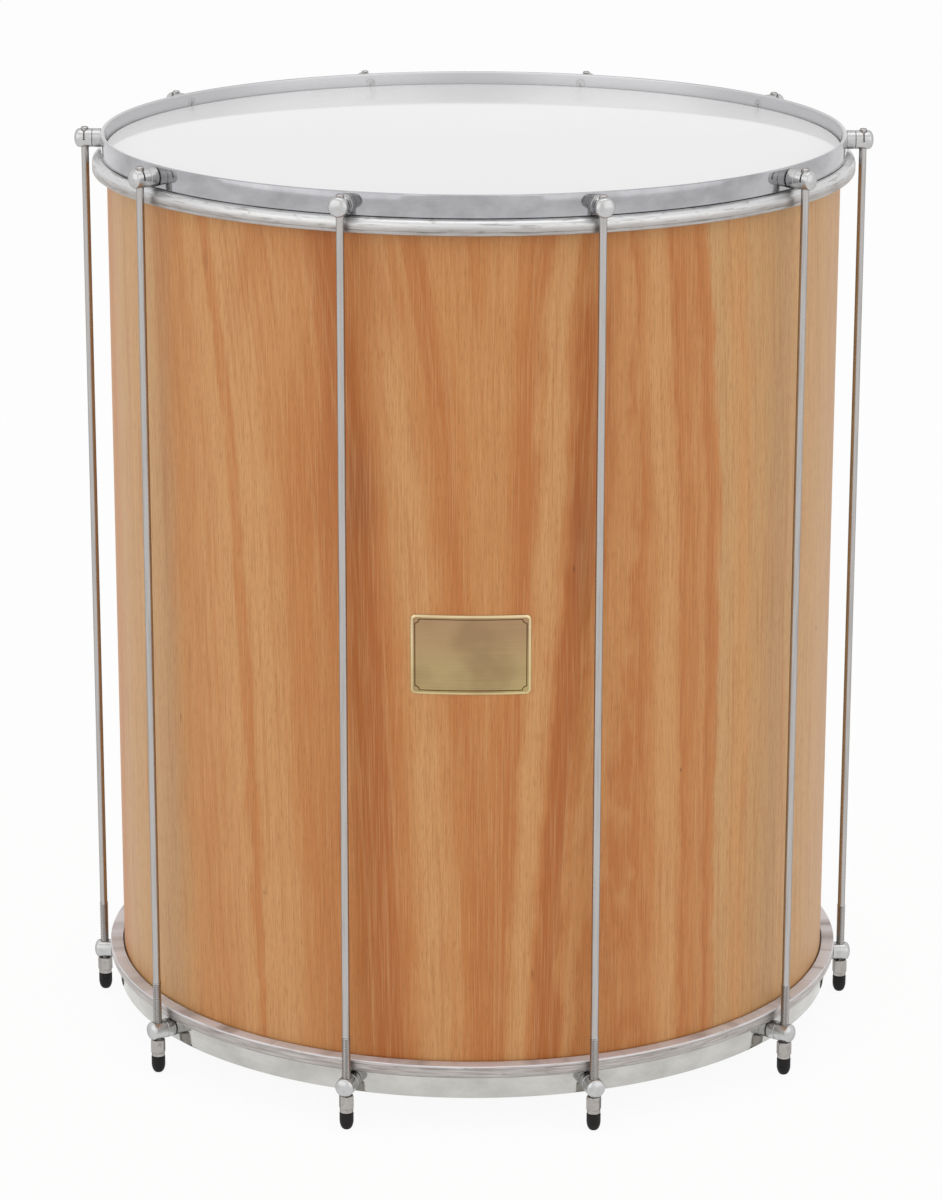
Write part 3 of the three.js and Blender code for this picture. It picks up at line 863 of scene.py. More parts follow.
def box_piece(name, size, centre):
    """A block for cutting, size (x, y, z) about its centre."""
    mesh = bpy.data.meshes.new(name)
    shape = bmesh.new()
    bmesh.ops.create_cube(shape, size=1.0, matrix=Matrix.Translation(centre) @ Matrix.Diagonal((*size, 1.0)))
    shape.to_mesh(mesh)
    shape.free()
    return in_scene(name, mesh)


def lug_screw():
    blank = turned("lug_screw", screw_section(BAND_INNER, 0.0, LUG_BASE + PAST), SCREW_STEPS, None)
    placed(blank, ALONG_X)
    middle = (BAND_INNER, 0.0, 0.0)
    upright = box_piece("recess upright", (2 * RECESS_DEPTH, RECESS_WIDTH, RECESS_LENGTH), middle)
    level = box_piece("recess level", (2 * RECESS_DEPTH, RECESS_LENGTH, RECESS_WIDTH), middle)
    return cut(blank, upright, level)


screw = lug_screw()

# %% Counterhoops
SEAT_EDGE, FREE_EDGE = 0.45 * MM, 1.2 * MM
TOP_BAND = (low("top_counterhoop").z, high("top_counterhoop").z, SEAT_EDGE, FREE_EDGE)
BOTTOM_BAND = (low("bottom_counterhoop").z, high("bottom_counterhoop").z, FREE_EDGE, SEAT_EDGE)


def band_section(bottom, top, low_edge, high_edge):
    corners = [
        ((BAND_OUTER - low_edge, bottom + low_edge), low_edge, -90),
        ((BAND_OUTER - high_edge, top - high_edge), high_edge, 0),
        ((BAND_INNER + high_edge, top - high_edge), high_edge, 90),
        ((BAND_INNER + low_edge, bottom + low_edge), low_edge, 180),
    ]
    points = []
    for centre, radius, start in corners:
        points += arc(centre, radius, start, start + 90, 5)
    return [*points, points[0]]


def counterhoop(name, section, lug_z, material):
    band = turned(name, band_section(*section), RING_STEPS, material)
    hole_section = screw_section(BAND_INNER - PAST, SCREW_HOLE_GAP, BAND_OUTER + PAST)
    hole = turned("screw hole", hole_section, SCREW_STEPS, material)
    placed(hole, Matrix.Translation((0.0, 0.0, lug_z)), ALONG_X)
    holes = round_the_drum("screw holes", hole, material)
    bpy.data.objects.remove(hole)
    return cut(band, holes)


# Both bands are one steel. The lower band's tones are lighter: a painted reflection of the bright floor
# below it.
top_steel = polished_band_steel("polished rolled steel", ("#b6b6b9", "#9c9c9f"), "#c9c8ca")
floor_reflection_bottom_steel = polished_band_steel("polished rolled steel, lower band", ("#c9c8c4", "#b2b1ac"), "#b8b7b9")
top_band = counterhoop("top_counter_band", TOP_BAND, TOP_LUG_Z, top_steel)
bottom_band = counterhoop("bottom_counter_band", BOTTOM_BAND, BOTTOM_LUG_Z, floor_reflection_bottom_steel)

# %% [markdown]
# ## Lugs
# Each lug is a turned barrel with a domed end. The upper ones have a hole for the rod, a
# narrow slot for its cross pin, which ends in a small drilled hole, and a V at its mouth.
# The lower ones only have the rod's hole. The cuts are booleans, made once before copying.

# %% Lug barrels
LUG_STEPS, PIN_STEPS = 48, 32
# The domes end a little inside the solids, so that the drum as a whole stays in their box
DOME_INSET = 0.15 * MM
LUG_END = high(SIDE_LUG).x - DOME_INSET
DOME = 3.4 * MM
LUG_BREAK = 0.4 * MM
RING_LINE = 6.2 * MM
RING_LINE_DEPTH = 0.35 * MM
SLOT_WIDTH = 1.1 * MM
SLOT_END_RADIUS = 0.85 * MM
MOUTH_WIDTH = 5.3 * MM
MOUTH_DEPTH = 2.3 * MM
ROD_RADIUS = 2.6 * MM
THREAD_RADIUS = 3 * MM
HOLE_GAP = 0.3 * MM
ACROSS_LUG = 2 * (LUG_RADIUS + PAST)


def barrel_section():
    line = LUG_BASE + RING_LINE
    return [
        (0.0, LUG_BASE),
        (LUG_RADIUS - LUG_BREAK, LUG_BASE),
        (LUG_RADIUS, LUG_BASE + LUG_BREAK),
        (LUG_RADIUS, line - RING_LINE_DEPTH),
        (LUG_RADIUS - RING_LINE_DEPTH, line),
        (LUG_RADIUS, line + RING_LINE_DEPTH),
        *arc((0.0, LUG_END - DOME), LUG_RADIUS, 0, 90, 14, squash=DOME / LUG_RADIUS),
    ]


def pin_piece(name, radius, length, centre, turn=None):
    """A round bar, upright unless it is turned."""
    end = length / 2
    bar = turned(name, [(0.0, -end), (radius, -end), (radius, end), (0.0, end)], PIN_STEPS, None)
    return placed(bar, Matrix.Translation(centre), turn or Matrix.Identity(4))


def wedge_piece(name, width, depth, top, length):
    """A V-shaped groove for cutting, along Y, whose mouth is width wide at top."""
    extra = 1 + PAST / depth
    half = width / 2 * extra
    profile = [(ROD_CIRCLE, top - depth), (ROD_CIRCLE + half, top + PAST), (ROD_CIRCLE - half, top + PAST)]
    points = [(x, side * length / 2, z) for side in (-1, 1) for x, z in profile]
    mesh = bpy.data.meshes.new(name)
    mesh.from_pydata(points, [], [(0, 1, 2), (5, 4, 3), (0, 3, 4, 1), (1, 4, 5, 2), (2, 5, 3, 0)])
    return in_scene(name, mesh)


def lug(name, height, hole_radius):
    barrel = turned(name, barrel_section(), LUG_STEPS, None)
    placed(barrel, Matrix.Translation((0.0, 0.0, height)), ALONG_X)
    return cut(barrel, pin_piece("rod hole", hole_radius, ACROSS_LUG, (ROD_CIRCLE, 0.0, height)))


def slotted_lug():
    barrel = lug("upper_lug", TOP_LUG_Z, ROD_RADIUS + HOLE_GAP)
    rise = LUG_RADIUS + PAST
    slot_middle = (ROD_CIRCLE, 0.0, TOP_LUG_Z + rise / 2)
    slot = box_piece("slot", (SLOT_WIDTH, ACROSS_LUG, rise), slot_middle)
    mouth = wedge_piece("mouth", MOUTH_WIDTH, MOUTH_DEPTH, TOP_LUG_Z + LUG_RADIUS, ACROSS_LUG)
    slot_end = pin_piece("slot end", SLOT_END_RADIUS, ACROSS_LUG, (ROD_CIRCLE, 0.0, TOP_LUG_Z), ALONG_Y)
    return cut(barrel, slot, mouth, slot_end)


# %% Lug steel
LINE_SHADE = 0.15 * MM


def turned_lug_steel():
    """Turned and nickel-plated: bright, with dark outlines, and painted shade darkening the turned line."""
    material, tree, surface = clouded_metal(
        "turned nickel-plated steel",
        ("#c4c4c4", "#b2b0ae"),
        (0.24, 0.36),
        (in_space, 5, 5),
        (0.50, 0.80),
        edge="#cfcfcf",
    )
    # Painted shade: the lug is darkened along its turned line, most in the line's middle
    own = add(tree, "ShaderNodeAttribute", attribute_name=OWN_PLACE).outputs["Vector"]
    along = add(tree, SPLIT_XYZ, {0: own}).outputs["X"]
    from_line = add(tree, MATH, {0: along, 1: LUG_BASE + RING_LINE}, operation="SUBTRACT")
    distance = add(tree, MATH, {0: from_line}, operation="ABSOLUTE")
    lay_where(tree, surface, distance, RING_LINE_DEPTH, LINE_SHADE, "#625c58", 0.35)
    return material


# %% Lugs round the drum
lug_steel = turned_lug_steel()
upper_lug = slotted_lug()
lower_lug = lug("lower_lug", BOTTOM_LUG_Z, THREAD_RADIUS + HOLE_GAP)
top_lugs = round_the_drum("top_lug_barrels", upper_lug, lug_steel)
bottom_lugs = round_the_drum("bottom_lug_barrels", lower_lug, lug_steel)

# %% The screws, one set for each hoop


def screw_set(name, height):
    single = screw.copy()
    single.data = screw.data.copy()
    placed(single, Matrix.Translation((0.0, 0.0, height)))
    copies = round_the_drum(name, single, lug_steel)
    bpy.data.objects.remove(single)
    return copies


top_screws = screw_set("top_lug_screws", TOP_LUG_Z)
bottom_screws = screw_set("bottom_lug_screws", BOTTOM_LUG_Z)
for spent in (screw, upper_lug, lower_lug):
    bpy.data.objects.remove(spent)

# %% [markdown]
# ## Tension rods
# A rolled thread is a helix, and its groove is a number that rises by one for each pitch
# upwards and for each turn backwards. The tree takes the rod's turned form and draws its
# surface in by the groove's depth, between the thread's two ends.

# %% A turned blank that a tree goes on from


def turned_blank(tree, given):
    """The blank, and the place of its points: as it is, as coordinates and as the turn about Z."""
    blank = add(tree, "GeometryNodeGroup", node_tree=TURNED)
    for label, _ in TURNED_INPUTS:
        tree.links.new(given.outputs[label], blank.inputs[label])
    place = add(tree, "GeometryNodeInputPosition")
    xyz = add(tree, SPLIT_XYZ, {0: place}).outputs
    turn = add(tree, MATH, {0: xyz["Y"], 1: xyz["X"]}, operation="ARCTAN2")
    return blank, place, xyz, turn


def from_half(tree, value):
    """A zigzag: 0.5 where the value is whole, down to 0 halfway between."""
    fraction = add(tree, MATH, {0: value}, operation="FRACT")
    centred = add(tree, MATH, {0: fraction, 1: 0.5}, operation="SUBTRACT")
    return add(tree, MATH, {0: centred}, operation="ABSOLUTE")


# %% Tree: a rolled thread
# The zigzag's values where the crest ends and where the root starts
CREST_END, ROOT_START = 0.06, 0.44


def threaded_tree():
    sizes = [(label, NUMBER) for label in ("Pitch", "Depth", "From", "To")]
    tree, given = new_tree("threaded rod", [*TURNED_INPUTS, *sizes])
    pitch, depth, start, end = [given.outputs[label] for label, _ in sizes]
    blank, place, xyz, turn = turned_blank(tree, given)
    height = xyz["Z"]
    turns = add(tree, MATH, {0: turn, 1: math.tau}, operation="DIVIDE")
    pitches = add(tree, MATH, {0: height, 1: pitch}, operation="DIVIDE")
    phase = add(tree, MATH, {0: pitches, 1: turns}, operation="SUBTRACT")
    flank = {"Value": from_half(tree, phase), "From Min": CREST_END, "From Max": ROOT_START}
    groove = add(tree, MAP_RANGE, flank, interpolation_type="SMOOTHSTEP")
    # The thread runs in and out over one pitch at each end
    run_in = add(tree, MATH, {0: start, 1: pitch})
    run_out = add(tree, MATH, {0: end, 1: pitch}, operation="SUBTRACT")
    rising = add(tree, MAP_RANGE, {"Value": height, "From Min": start, "From Max": run_in})
    falling = add(tree, MAP_RANGE, {"Value": height, "From Min": end, "From Max": run_out})
    window = add(tree, MATH, {0: rising, 1: falling}, operation="MULTIPLY")
    inwards = add(tree, MATH, {0: groove, 1: window}, operation="MULTIPLY")
    drawn_in = add(tree, MATH, {0: inwards, 1: depth}, operation="MULTIPLY")
    flat = add(tree, VECTOR_MATH, {0: place, 1: (-1.0, -1.0, 0.0)}, operation="MULTIPLY")
    axisward = add(tree, VECTOR_MATH, {0: flat}, operation="NORMALIZE")
    offset = add(tree, VECTOR_MATH, {0: axisward, "Scale": drawn_in}, operation="SCALE")
    threaded = add(tree, "GeometryNodeSetPosition", {"Geometry": blank, "Offset": offset})
    return end_tree(tree, given, threaded)


# %% Rods and their cross pins
PITCH = 1.27 * MM
THREAD_DEPTH = 0.62 * MM
ROWS_PER_PITCH = 6
ROD_STEPS = 24
ROD_TIP, ROD_TOP = low("tension_rod_03").z, high("tension_rod_03").z
ROD_CHAMFER = 0.6 * MM
THREAD_ABOVE_LUG = 29.3 * MM
THREAD_TOP = BOTTOM_LUG_Z + LUG_RADIUS + THREAD_ABOVE_LUG
PIN_RADIUS = 0.45 * MM
PIN_LENGTH = 10.4 * MM


def rod_section():
    start = ROD_TIP + ROD_CHAMFER
    rows = round((THREAD_TOP - start) / PITCH * ROWS_PER_PITCH)
    thread = [(THREAD_RADIUS, start + (THREAD_TOP - start) * row / rows) for row in range(rows + 1)]
    step = THREAD_RADIUS - ROD_RADIUS
    return [
        (0.0, ROD_TIP),
        (THREAD_RADIUS - ROD_CHAMFER, ROD_TIP),
        *thread,
        (ROD_RADIUS, THREAD_TOP + step),
        (ROD_RADIUS, ROD_TOP - ROD_CHAMFER),
        (ROD_RADIUS - ROD_CHAMFER, ROD_TOP),
        (0.0, ROD_TOP),
    ]


# %% Rod steel
GROOVE_SHADE = 0.5 * MM


def drawn_rod_steel():
    """Drawn bright steel: a warm grey with faint streaks lengthwise, and painted shade darkening the
    thread's grooves.
    """
    material, tree, surface = clouded_metal(
        "drawn bright steel",
        ("#b9b6b4", "#a8a5a2"),
        (0.24, 0.36),
        (in_space, 2, 45),
        (0.45, 0.72),
        edge="#a8a8a8",
    )
    # Painted shade: on the thread the steel is darker towards the root of each groove
    own = add(tree, "ShaderNodeAttribute", attribute_name=OWN_PLACE).outputs["Vector"]
    in_rod = add(tree, VECTOR_MATH, {0: own, 1: (ROD_CIRCLE, 0.0, 0.0)}, operation="SUBTRACT")
    ends = {"From Min": THREAD_RADIUS, "From Max": THREAD_RADIUS - GROOVE_SHADE, "To Max": 0.18}
    depth = add(tree, MAP_RANGE, {"Value": from_axis(tree, in_rod), **ends})
    height = add(tree, SPLIT_XYZ, {0: own}).outputs["Z"]
    on_thread = add(tree, MATH, {0: height, 1: THREAD_TOP}, operation="LESS_THAN")
    grooves = add(tree, MATH, {0: depth, 1: on_thread}, operation="MULTIPLY")
    lay_over(tree, surface, grooves, "#84807e")
    return material


# %% Rods and pins round the drum
rod_steel = drawn_rod_steel()
thread = {"Pitch": PITCH, "Depth": THREAD_DEPTH, "From": ROD_TIP + ROD_CHAMFER, "To": THREAD_TOP}
rod = turned("tension_rod", rod_section(), ROD_STEPS, None, tree=threaded_tree(), **thread)
placed(rod, ON_ROD_CIRCLE)
rods = round_the_drum("tension_rods", rod, rod_steel)
pin = pin_piece("cross_pin", PIN_RADIUS, PIN_LENGTH, (ROD_CIRCLE, 0.0, TOP_LUG_Z), ALONG_Y)
pins = round_the_drum("cross_pins", pin, rod_steel)
for spent in (rod, pin):
    bpy.data.objects.remove(spent)

# %% [markdown]
# ## Tension nuts
# A hexagon's distance from its axis is a formula of the angle, so a tree can draw a turned
# blank in to the hexagon and leave the turned chamfer where that is smaller. The collar
# below is knurled: two sets of slanting grooves cross on it.

# %% Tree: hexagon and knurl


def nut_tree():
    labels = ("Flat", "Hex From", "Turn", "Knurl Depth", "Knurl Pitch", "Knurl Count", "Bore")
    tree, given = new_tree("tension nut", [*TURNED_INPUTS, *((label, NUMBER) for label in labels)])
    flat, hex_from, own, knurl_depth, knurl_pitch, knurl_count, bore = [given.outputs[n] for n in labels]
    blank, place, xyz, turn = turned_blank(tree, given)
    height, radius = xyz["Z"], from_axis(tree, place)
    sixth = math.tau / 6
    own_turn = add(tree, MATH, {0: turn, 1: own})
    folded = add(tree, MATH, {0: own_turn, 1: sixth}, operation="FLOORED_MODULO")
    from_flat = add(tree, MATH, {0: folded, 1: sixth / 2}, operation="SUBTRACT")
    cosine = add(tree, MATH, {0: from_flat}, operation="COSINE")
    hexagon = add(tree, MATH, {0: flat, 1: cosine}, operation="DIVIDE")
    limited = add(tree, MATH, {0: radius, 1: hexagon}, operation="MINIMUM")
    turned_by = add(tree, MATH, {0: turn, 1: knurl_count}, operation="MULTIPLY")
    around = add(tree, MATH, {0: turned_by, 1: math.tau}, operation="DIVIDE")
    along = add(tree, MATH, {0: height, 1: knurl_pitch}, operation="DIVIDE")
    knurls = []
    for sense in (1.0, -1.0):
        slanted = add(tree, MATH, {0: along, 1: sense, 2: around}, operation="MULTIPLY_ADD")
        knurls.append(from_half(tree, slanted))
    crossed = add(tree, MATH, {0: knurls[0], 1: knurls[1]}, operation="MAXIMUM")
    doubled = add(tree, MATH, {0: crossed, 1: 2.0}, operation="MULTIPLY")
    groove = add(tree, MATH, {0: doubled, 1: knurl_depth}, operation="MULTIPLY")
    knurled = add(tree, MATH, {0: radius, 1: groove}, operation="SUBTRACT")
    in_hexagon = add(tree, MATH, {0: height, 1: hex_from}, operation="GREATER_THAN")
    outside = add(tree, "ShaderNodeMix", {0: in_hexagon, 2: knurled, 3: limited})
    is_outside = add(tree, MATH, {0: radius, 1: bore}, operation="GREATER_THAN")
    wanted = add(tree, "ShaderNodeMix", {0: is_outside, 2: radius, 3: outside})
    scale = add(tree, MATH, {0: wanted, 1: radius}, operation="DIVIDE")
    x = add(tree, MATH, {0: xyz["X"], 1: scale}, operation="MULTIPLY")
    y = add(tree, MATH, {0: xyz["Y"], 1: scale}, operation="MULTIPLY")
    shaped = add(tree, JOIN_XYZ, {0: x, 1: y, 2: height})
    cut_nut = add(tree, "GeometryNodeSetPosition", {"Geometry": blank, "Position": shaped})
    return end_tree(tree, given, cut_nut)


# %% Nuts, each turned by its own angle
NUT_LOW, NUT_HIGH = low("tension_nut_03").z, high("tension_nut_03").z
HEX_FLAT = 4.5 * MM
HEX_CORNER = HEX_FLAT / math.cos(math.radians(30))
COLLAR_HEIGHT = 2.8 * MM
HEX_LOW = NUT_LOW + COLLAR_HEIGHT
HEX_STEP = 0.05 * MM
COLLAR_RADIUS = 4.6 * MM
COLLAR_STEP = 0.25 * MM
NUT_CHAMFER = 0.7 * MM
NUT_GAP = 0.15 * MM
NUT_BORE = THREAD_RADIUS + NUT_GAP
NUT_LEAD = 0.4 * MM
# What lies nearer to the axis than this is the bore with its lead, which stays round
BORE_LIMIT = NUT_BORE + NUT_LEAD + 0.1 * MM
KNURL_DEPTH, KNURL_PITCH, KNURL_COUNT = 0.14 * MM, 0.9 * MM, 32.0
NUT_STEPS, KNURL_ROWS, CHAMFER_ROWS = 144, 14, 8
# How far each hexagon is turned, in degrees: nobody lines them up. The blank has a column of
# points each 2.5 degrees, so a multiple of that puts the hexagon's corners on points.
NUT_TURNS = (35, 35, 12.5, 20, 47.5, 27.5, 7.5, 52.5, 15, 30)


def nut_section():
    start, rise = NUT_LOW + COLLAR_STEP, COLLAR_HEIGHT - 2 * COLLAR_STEP
    knurl = [(COLLAR_RADIUS, start + rise * row / KNURL_ROWS) for row in range(KNURL_ROWS + 1)]
    chamfer = [
        (HEX_CORNER - NUT_CHAMFER * row / CHAMFER_ROWS, NUT_HIGH - NUT_CHAMFER * (1 - row / CHAMFER_ROWS))
        for row in range(CHAMFER_ROWS + 1)
    ]
    return [
        (NUT_BORE, NUT_LOW),
        (COLLAR_RADIUS - COLLAR_STEP, NUT_LOW),
        *knurl,
        (COLLAR_RADIUS - COLLAR_STEP, HEX_LOW),
        (HEX_CORNER, HEX_LOW + HEX_STEP),
        *chamfer,
        (NUT_BORE + NUT_LEAD, NUT_HIGH),
        (NUT_BORE, NUT_HIGH - NUT_LEAD),
        (NUT_BORE, NUT_LOW),
    ]


def nut(index, tree, material):
    hexagon = {"Flat": HEX_FLAT, "Hex_From": HEX_LOW, "Turn": math.radians(NUT_TURNS[index])}
    knurl = {"Knurl_Depth": KNURL_DEPTH, "Knurl_Pitch": KNURL_PITCH, "Knurl_Count": KNURL_COUNT}
    sizes = {**hexagon, **knurl, "Bore": BORE_LIMIT}
    piece = turned("nut blank", nut_section(), NUT_STEPS, None, tree=tree, **sizes)
    placed(piece, ON_ROD_CIRCLE)
    made = round_the_drum(f"hex_nut_{NAMES[index]}", piece, material, first=index, made=1)
    bpy.data.objects.remove(piece)
    return made


def nut_steel():
    """Machined and plated: a warm grey, duller than the lugs, with small dark handling marks."""
    material, _, _ = clouded_metal(
        "machined nut steel",
        ("#b1ada9", "#918b86"),
        (0.28, 0.42),
        (in_space, 4, 5),
        (0.50, 0.78),
        edge="#8c8c8c",
    )
    return material


hexagon_tree = nut_tree()
plain_steel = nut_steel()
nuts = [nut(index, hexagon_tree, plain_steel) for index in range(STATIONS)]

# %% [markdown]
# ## Rubber feet
# A foot is moulded as a bullet with a blind bore, and it is bonded under its nut. Its lip is
# slightly rounded, and its tip is worn flat where the drum stands on it.

# %% Feet
FOOT_STEPS = 40
FOOT_TOP = high("rubber_foot_03").z
FOOT_RADIUS = 4.8 * MM
FOOT_TIP = 1.5 * MM
FOOT_DOME = 6.8 * MM
FOOT_LIP = 0.5 * MM
FOOT_SOLE = 4 * MM
FOOT_BORE = 3.3 * MM


def foot_section():
    reach = FOOT_RADIUS - FOOT_TIP
    dome = arc((FOOT_TIP, FOOT_DOME), reach, -90, 0, 16, squash=FOOT_DOME / reach)
    lip = arc((FOOT_RADIUS - FOOT_LIP, FOOT_TOP - FOOT_LIP), FOOT_LIP, 0, 90, 4)
    return [(0.0, 0.0), *dome, *lip, (FOOT_BORE, FOOT_TOP), (FOOT_BORE, FOOT_SOLE), (0.0, FOOT_SOLE)]


rubber = moulded_rubber()
foot = turned("foot blank", foot_section(), FOOT_STEPS, None)
placed(foot, ON_ROD_CIRCLE)
feet = [round_the_drum(f"foot_cap_{name}", foot, rubber, index, 1) for index, name in enumerate(NAMES)]
bpy.data.objects.remove(foot)

# %% [markdown]
# ## Badge
# A thin brass plate, stamped: a bevelled frame, an engraved line whose corners are notched in
# quarter circles, and a bare brushed field. It is drawn flat as nested outlines with the same
# number of points, cut into strips and then bent round the shell.

# %% Badge outlines
BADGE_LOW, BADGE_HIGH = low("badge"), high("badge")
BADGE_MIDDLE = (BADGE_LOW.z + BADGE_HIGH.z) / 2
BADGE_HALF = (39.5 * MM, (BADGE_HIGH.z - BADGE_LOW.z) / 2)
BADGE_THICK = 0.8 * MM
BADGE_CORNER = 3.4 * MM
FRAME_WIDTH = 2.5 * MM
NOTCH = 2.9 * MM
ARC_STEPS = 10
STRIP = 2.5 * MM
EDGE_HEIGHT = 0.2 * MM
ROLL_INSET, ROLL_HEIGHT = 0.35 * MM, 0.45 * MM
BEVEL_WIDTH = 1.5 * MM
LINE_WALL, LINE_WIDTH, LINE_DEPTH = 0.18 * MM, 0.5 * MM, 0.3 * MM
FIELD_DEPTH = 0.1 * MM


def corner_points(centre_inset, radius, start, end):
    """A closed outline with the same arc at each corner: centres inset from the plate's corners."""
    points = []
    for quarter, (sx, sy) in enumerate(((1, 1), (-1, 1), (-1, -1), (1, -1))):
        centre = (sx * (BADGE_HALF[0] - centre_inset), sy * (BADGE_HALF[1] - centre_inset))
        points += arc(centre, radius, start + 90 * quarter, end + 90 * quarter, ARC_STEPS)
    return points


def rounded(inset):
    return corner_points(BADGE_CORNER, BADGE_CORNER - inset, 0, 90)


def notched(inset):
    """The engraved line: each corner is bitten off by a circle round the frame's own corner."""
    reach = math.degrees(math.asin(inset / (NOTCH + inset)))
    return corner_points(FRAME_WIDTH, NOTCH + inset, 270 - reach, 180 + reach)


# Each ring of the plate's surface: outline, height above the plate's back
BADGE_RINGS = (
    (rounded(0.0), 0.0),
    (rounded(0.0), EDGE_HEIGHT),
    (rounded(ROLL_INSET), ROLL_HEIGHT),
    (rounded(BEVEL_WIDTH), BADGE_THICK),
    (notched(0.0), BADGE_THICK),
    (notched(LINE_WALL), BADGE_THICK - LINE_DEPTH),
    (notched(LINE_WIDTH), BADGE_THICK - LINE_DEPTH),
    (notched(LINE_WIDTH + LINE_WALL), BADGE_THICK - FIELD_DEPTH),
)
print("badge outline points:", [len(outline) for outline, _ in BADGE_RINGS])

# %% Badge plate
# Strips between two rings, counted from the back: the floor of the engraved line, and the
# edges, which are painted lighter as a highlight
LINE_RING = 5
BEVEL_RINGS = (1, 2)


def badge_plate():
    shape = bmesh.new()
    rings = [[shape.verts.new((x, y, z)) for x, y in outline] for outline, z in BADGE_RINGS]
    count = len(rings[0])
    for level, (outer, inner) in enumerate(zip(rings, rings[1:])):
        for index in range(count):
            after = (index + 1) % count
            face = shape.faces.new((outer[index], outer[after], inner[after], inner[index]))
            face.material_index = 2 if level == LINE_RING else 1 if level in BEVEL_RINGS else 0
    shape.faces.new(rings[-1])
    shape.faces.new(list(reversed(rings[0])))
    strips = int(2 * BADGE_HALF[0] / STRIP)
    for step in range(1, strips):
        everything = [*shape.verts, *shape.edges, *shape.faces]
        across = (-BADGE_HALF[0] + 2 * BADGE_HALF[0] * step / strips, 0.0, 0.0)
        bmesh.ops.bisect_plane(shape, geom=everything, plane_co=across, plane_no=(1.0, 0.0, 0.0))
    back = SHELL_RADIUS + SEAT_GAP
    for vert in shape.verts:
        turn, radius = vert.co.x / SHELL_RADIUS, back + vert.co.z
        vert.co = Vector((radius * math.sin(turn), -radius * math.cos(turn), BADGE_MIDDLE + vert.co.y))
    bmesh.ops.recalc_face_normals(shape, faces=shape.faces)
    mesh = bpy.data.meshes.new("badge_plate")
    shape.to_mesh(mesh)
    shape.free()
    plate = in_scene("badge_plate", mesh)
    mesh.materials.append(brushed_brass("brushed brass", "#ad8d6b", "#b5a071", "#957a5a", 0.36))
    # Painted highlight: the rolled edge and bevel are a lighter, smoother brass
    mesh.materials.append(brushed_brass("brass bevel with painted highlight", "#e2cfa6", "#d6c493", "#bfa77a", 0.2))
    mesh.materials.append(brushed_brass("darkened engraved line", "#4c3726", "#4f3d26", "#3a2a1d", 0.5))
    return smooth(plate, crease=18)


badge = badge_plate()
print("badge faces:", len(badge.data.polygons))

# %% [markdown]
# ## Riding on the bodies
# Every piece moves with one body of the mechanism, and says which solids it stands for, which
# are hidden. The drum carries all but nuts and feet.

# %% Ride and replace


def every(node):
    return [f"{node}_{name}" for name in NAMES]


DRUM_PIECES = (
    (shell, ["shell"], "veneer"),
    (badge, ["badge"], "brass"),
    (top_head, ["top_head"], "film"),
    (bottom_head, ["bottom_head"], "film"),
    (top_flesh, ["top_flesh_hoop"], "aluminium"),
    (bottom_flesh, ["bottom_flesh_hoop"], "aluminium"),
    (top_band, ["top_counterhoop"], "polished_steel"),
    (bottom_band, ["bottom_counterhoop"], "polished_steel"),
    (top_lugs, every("top_lug"), "lug_steel"),
    (bottom_lugs, every("bottom_lug"), "lug_steel"),
    (top_screws, [], "lug_steel"),
    (bottom_screws, [], "lug_steel"),
    (rods, every("tension_rod"), "rod_steel"),
    (pins, [], "rod_steel"),
)
for piece, nodes, slot in DRUM_PIECES:
    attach(piece, "drum")
    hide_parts(*nodes)
for name, nut_piece, foot_piece in zip(NAMES, nuts, feet):
    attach(nut_piece, f"nut_{name}")
    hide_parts(f"tension_nut_{name}")
    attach(foot_piece, f"foot_{name}")
    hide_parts(f"rubber_foot_{name}")
print("pieces riding:", len(DRUM_PIECES) + len(nuts) + len(feet))

# %% [markdown]
# ## Stage
# A plain pale floor under plain soft light. To camera, glossy and transmission rays the floor
# is partly its own white, so that it stays pale to the horizon, and the rest of it is lit, so
# that it keeps the drum's shadow.

# %% Floor
FLOOR_RADIUS = 14.0
FLOOR_STEPS = 96
OWN_WHITE = 0.92
WHITE = linear("#ffffff")


def seen_directly(tree):
    """1 for camera, glossy and transmission rays, and 0 for the rest."""
    path = add(tree, "ShaderNodeLightPath").outputs
    glossy = add(tree, MATH, {0: path["Is Camera Ray"], 1: path["Is Glossy Ray"]}, operation="MAXIMUM")
    return add(tree, MATH, {0: glossy, 1: path["Is Transmission Ray"]}, operation="MAXIMUM")


def floor():
    """A matt white sheet: no gloss and no pattern, so nothing shows on it but the drum's shadow."""
    mesh = bpy.data.meshes.new("floor")
    shape = bmesh.new()
    bmesh.ops.create_circle(shape, cap_ends=True, segments=FLOOR_STEPS, radius=FLOOR_RADIUS)
    shape.to_mesh(mesh)
    shape.free()
    disc = in_scene("floor", mesh)
    material, tree, surface = new_material("matt white floor", Roughness=0.9, IOR=1.3)
    surface.inputs["Base Color"].default_value = linear("#fafafa")
    share = add(tree, MATH, {0: seen_directly(tree), 1: OWN_WHITE}, operation="MULTIPLY")
    glow = add(tree, "ShaderNodeEmission", {"Color": WHITE, "Strength": 1.0})
    mixed = add(tree, "ShaderNodeMixShader", {0: share, 1: surface, 2: glow})
    tree.links.new(mixed.outputs[0], tree.nodes["Material Output"].inputs["Surface"])
    mesh.materials.append(material)


floor()

# %% Light
SKY_LEVEL = 0.76
DRUM_MIDDLE = Vector((0.0, 0.0, MIDDLE_HEIGHT))
# Each softbox: place and size in metres, and power in watts
SOFTBOXES = (
    ("left softbox", (-2.2, -1.9, 1.6), (3.8, 2.8), 16),
    ("right softbox", (2.2, -1.9, 1.6), (3.8, 2.8), 13),
    ("overhead softbox", (0.0, -0.2, 2.9), (2.2, 1.0), 6),
)


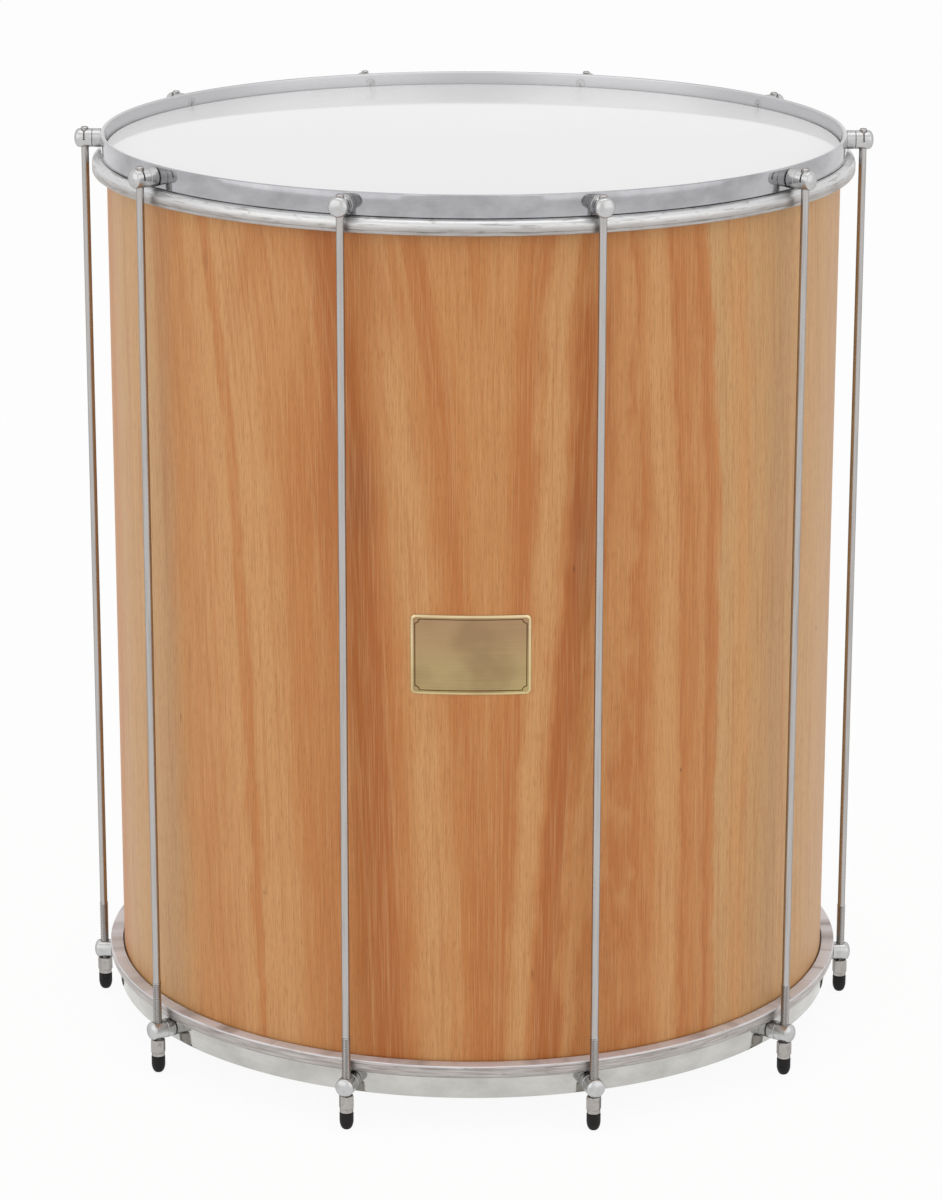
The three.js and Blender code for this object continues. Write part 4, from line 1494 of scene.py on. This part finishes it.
def sky():
    world = bpy.data.worlds.new("studio")
    bpy.context.scene.world = world
    world.use_nodes = True
    tree = world.node_tree
    lit = tree.nodes["Background"]
    lit.inputs["Color"].default_value = WHITE
    lit.inputs["Strength"].default_value = SKY_LEVEL
    seen = add(tree, "ShaderNodeBackground", {"Color": WHITE, "Strength": 1.0})
    mixed = add(tree, "ShaderNodeMixShader", {0: seen_directly(tree), 1: lit, 2: seen})
    tree.links.new(mixed.outputs[0], tree.nodes["World Output"].inputs["Surface"])


def softbox(name, place, size, watts):
    data = bpy.data.lights.new(name, "AREA")
    data.shape = "RECTANGLE"
    data.size, data.size_y = size
    data.energy = watts
    lamp = in_scene(name, data)
    lamp.location = place
    lamp.rotation_euler = (DRUM_MIDDLE - Vector(place)).to_track_quat("-Z", "Y").to_euler()
    lamp.visible_camera = False
    print(f"{name}: {watts} W")


sky()
for lamp in SOFTBOXES:
    softbox(*lamp)

# %% [markdown]
# ## Camera
# The photograph was fitted with a pinhole camera: a long lens, a little above the drum's
# rim, turned down by sixteen degrees.

# %% Camera
# Distance and height are in metres. Round, down and roll are its turns in radians.
LENS_MM, SENSOR_MM = 121.9, 36.0
CAMERA_DISTANCE = 2.7956
CAMERA_HEIGHT = 1.1043
CAMERA_ROUND = 0.0051
CAMERA_DOWN = math.radians(16.09)
CAMERA_ROLL = 0.0018
SHIFT = -0.0016

camera_data = bpy.data.cameras.new("camera")
camera_data.sensor_width = SENSOR_MM
camera_data.lens = LENS_MM
camera_data.shift_x = SHIFT
camera = in_scene("camera", camera_data)
camera.location = (
    CAMERA_DISTANCE * math.sin(CAMERA_ROUND),
    -CAMERA_DISTANCE * math.cos(CAMERA_ROUND),
    CAMERA_HEIGHT,
)
look = Matrix.Rotation(CAMERA_ROUND, 4, "Z") @ Matrix.Rotation(math.pi / 2 - CAMERA_DOWN, 4, "X")
camera.rotation_euler = (look @ Matrix.Rotation(CAMERA_ROLL, 4, "Z")).to_euler()
bpy.context.scene.camera = camera
bpy.context.scene.view_settings.view_transform = "Standard"
print(f"camera: {LENS_MM} mm lens, {CAMERA_DISTANCE} m from the axis")
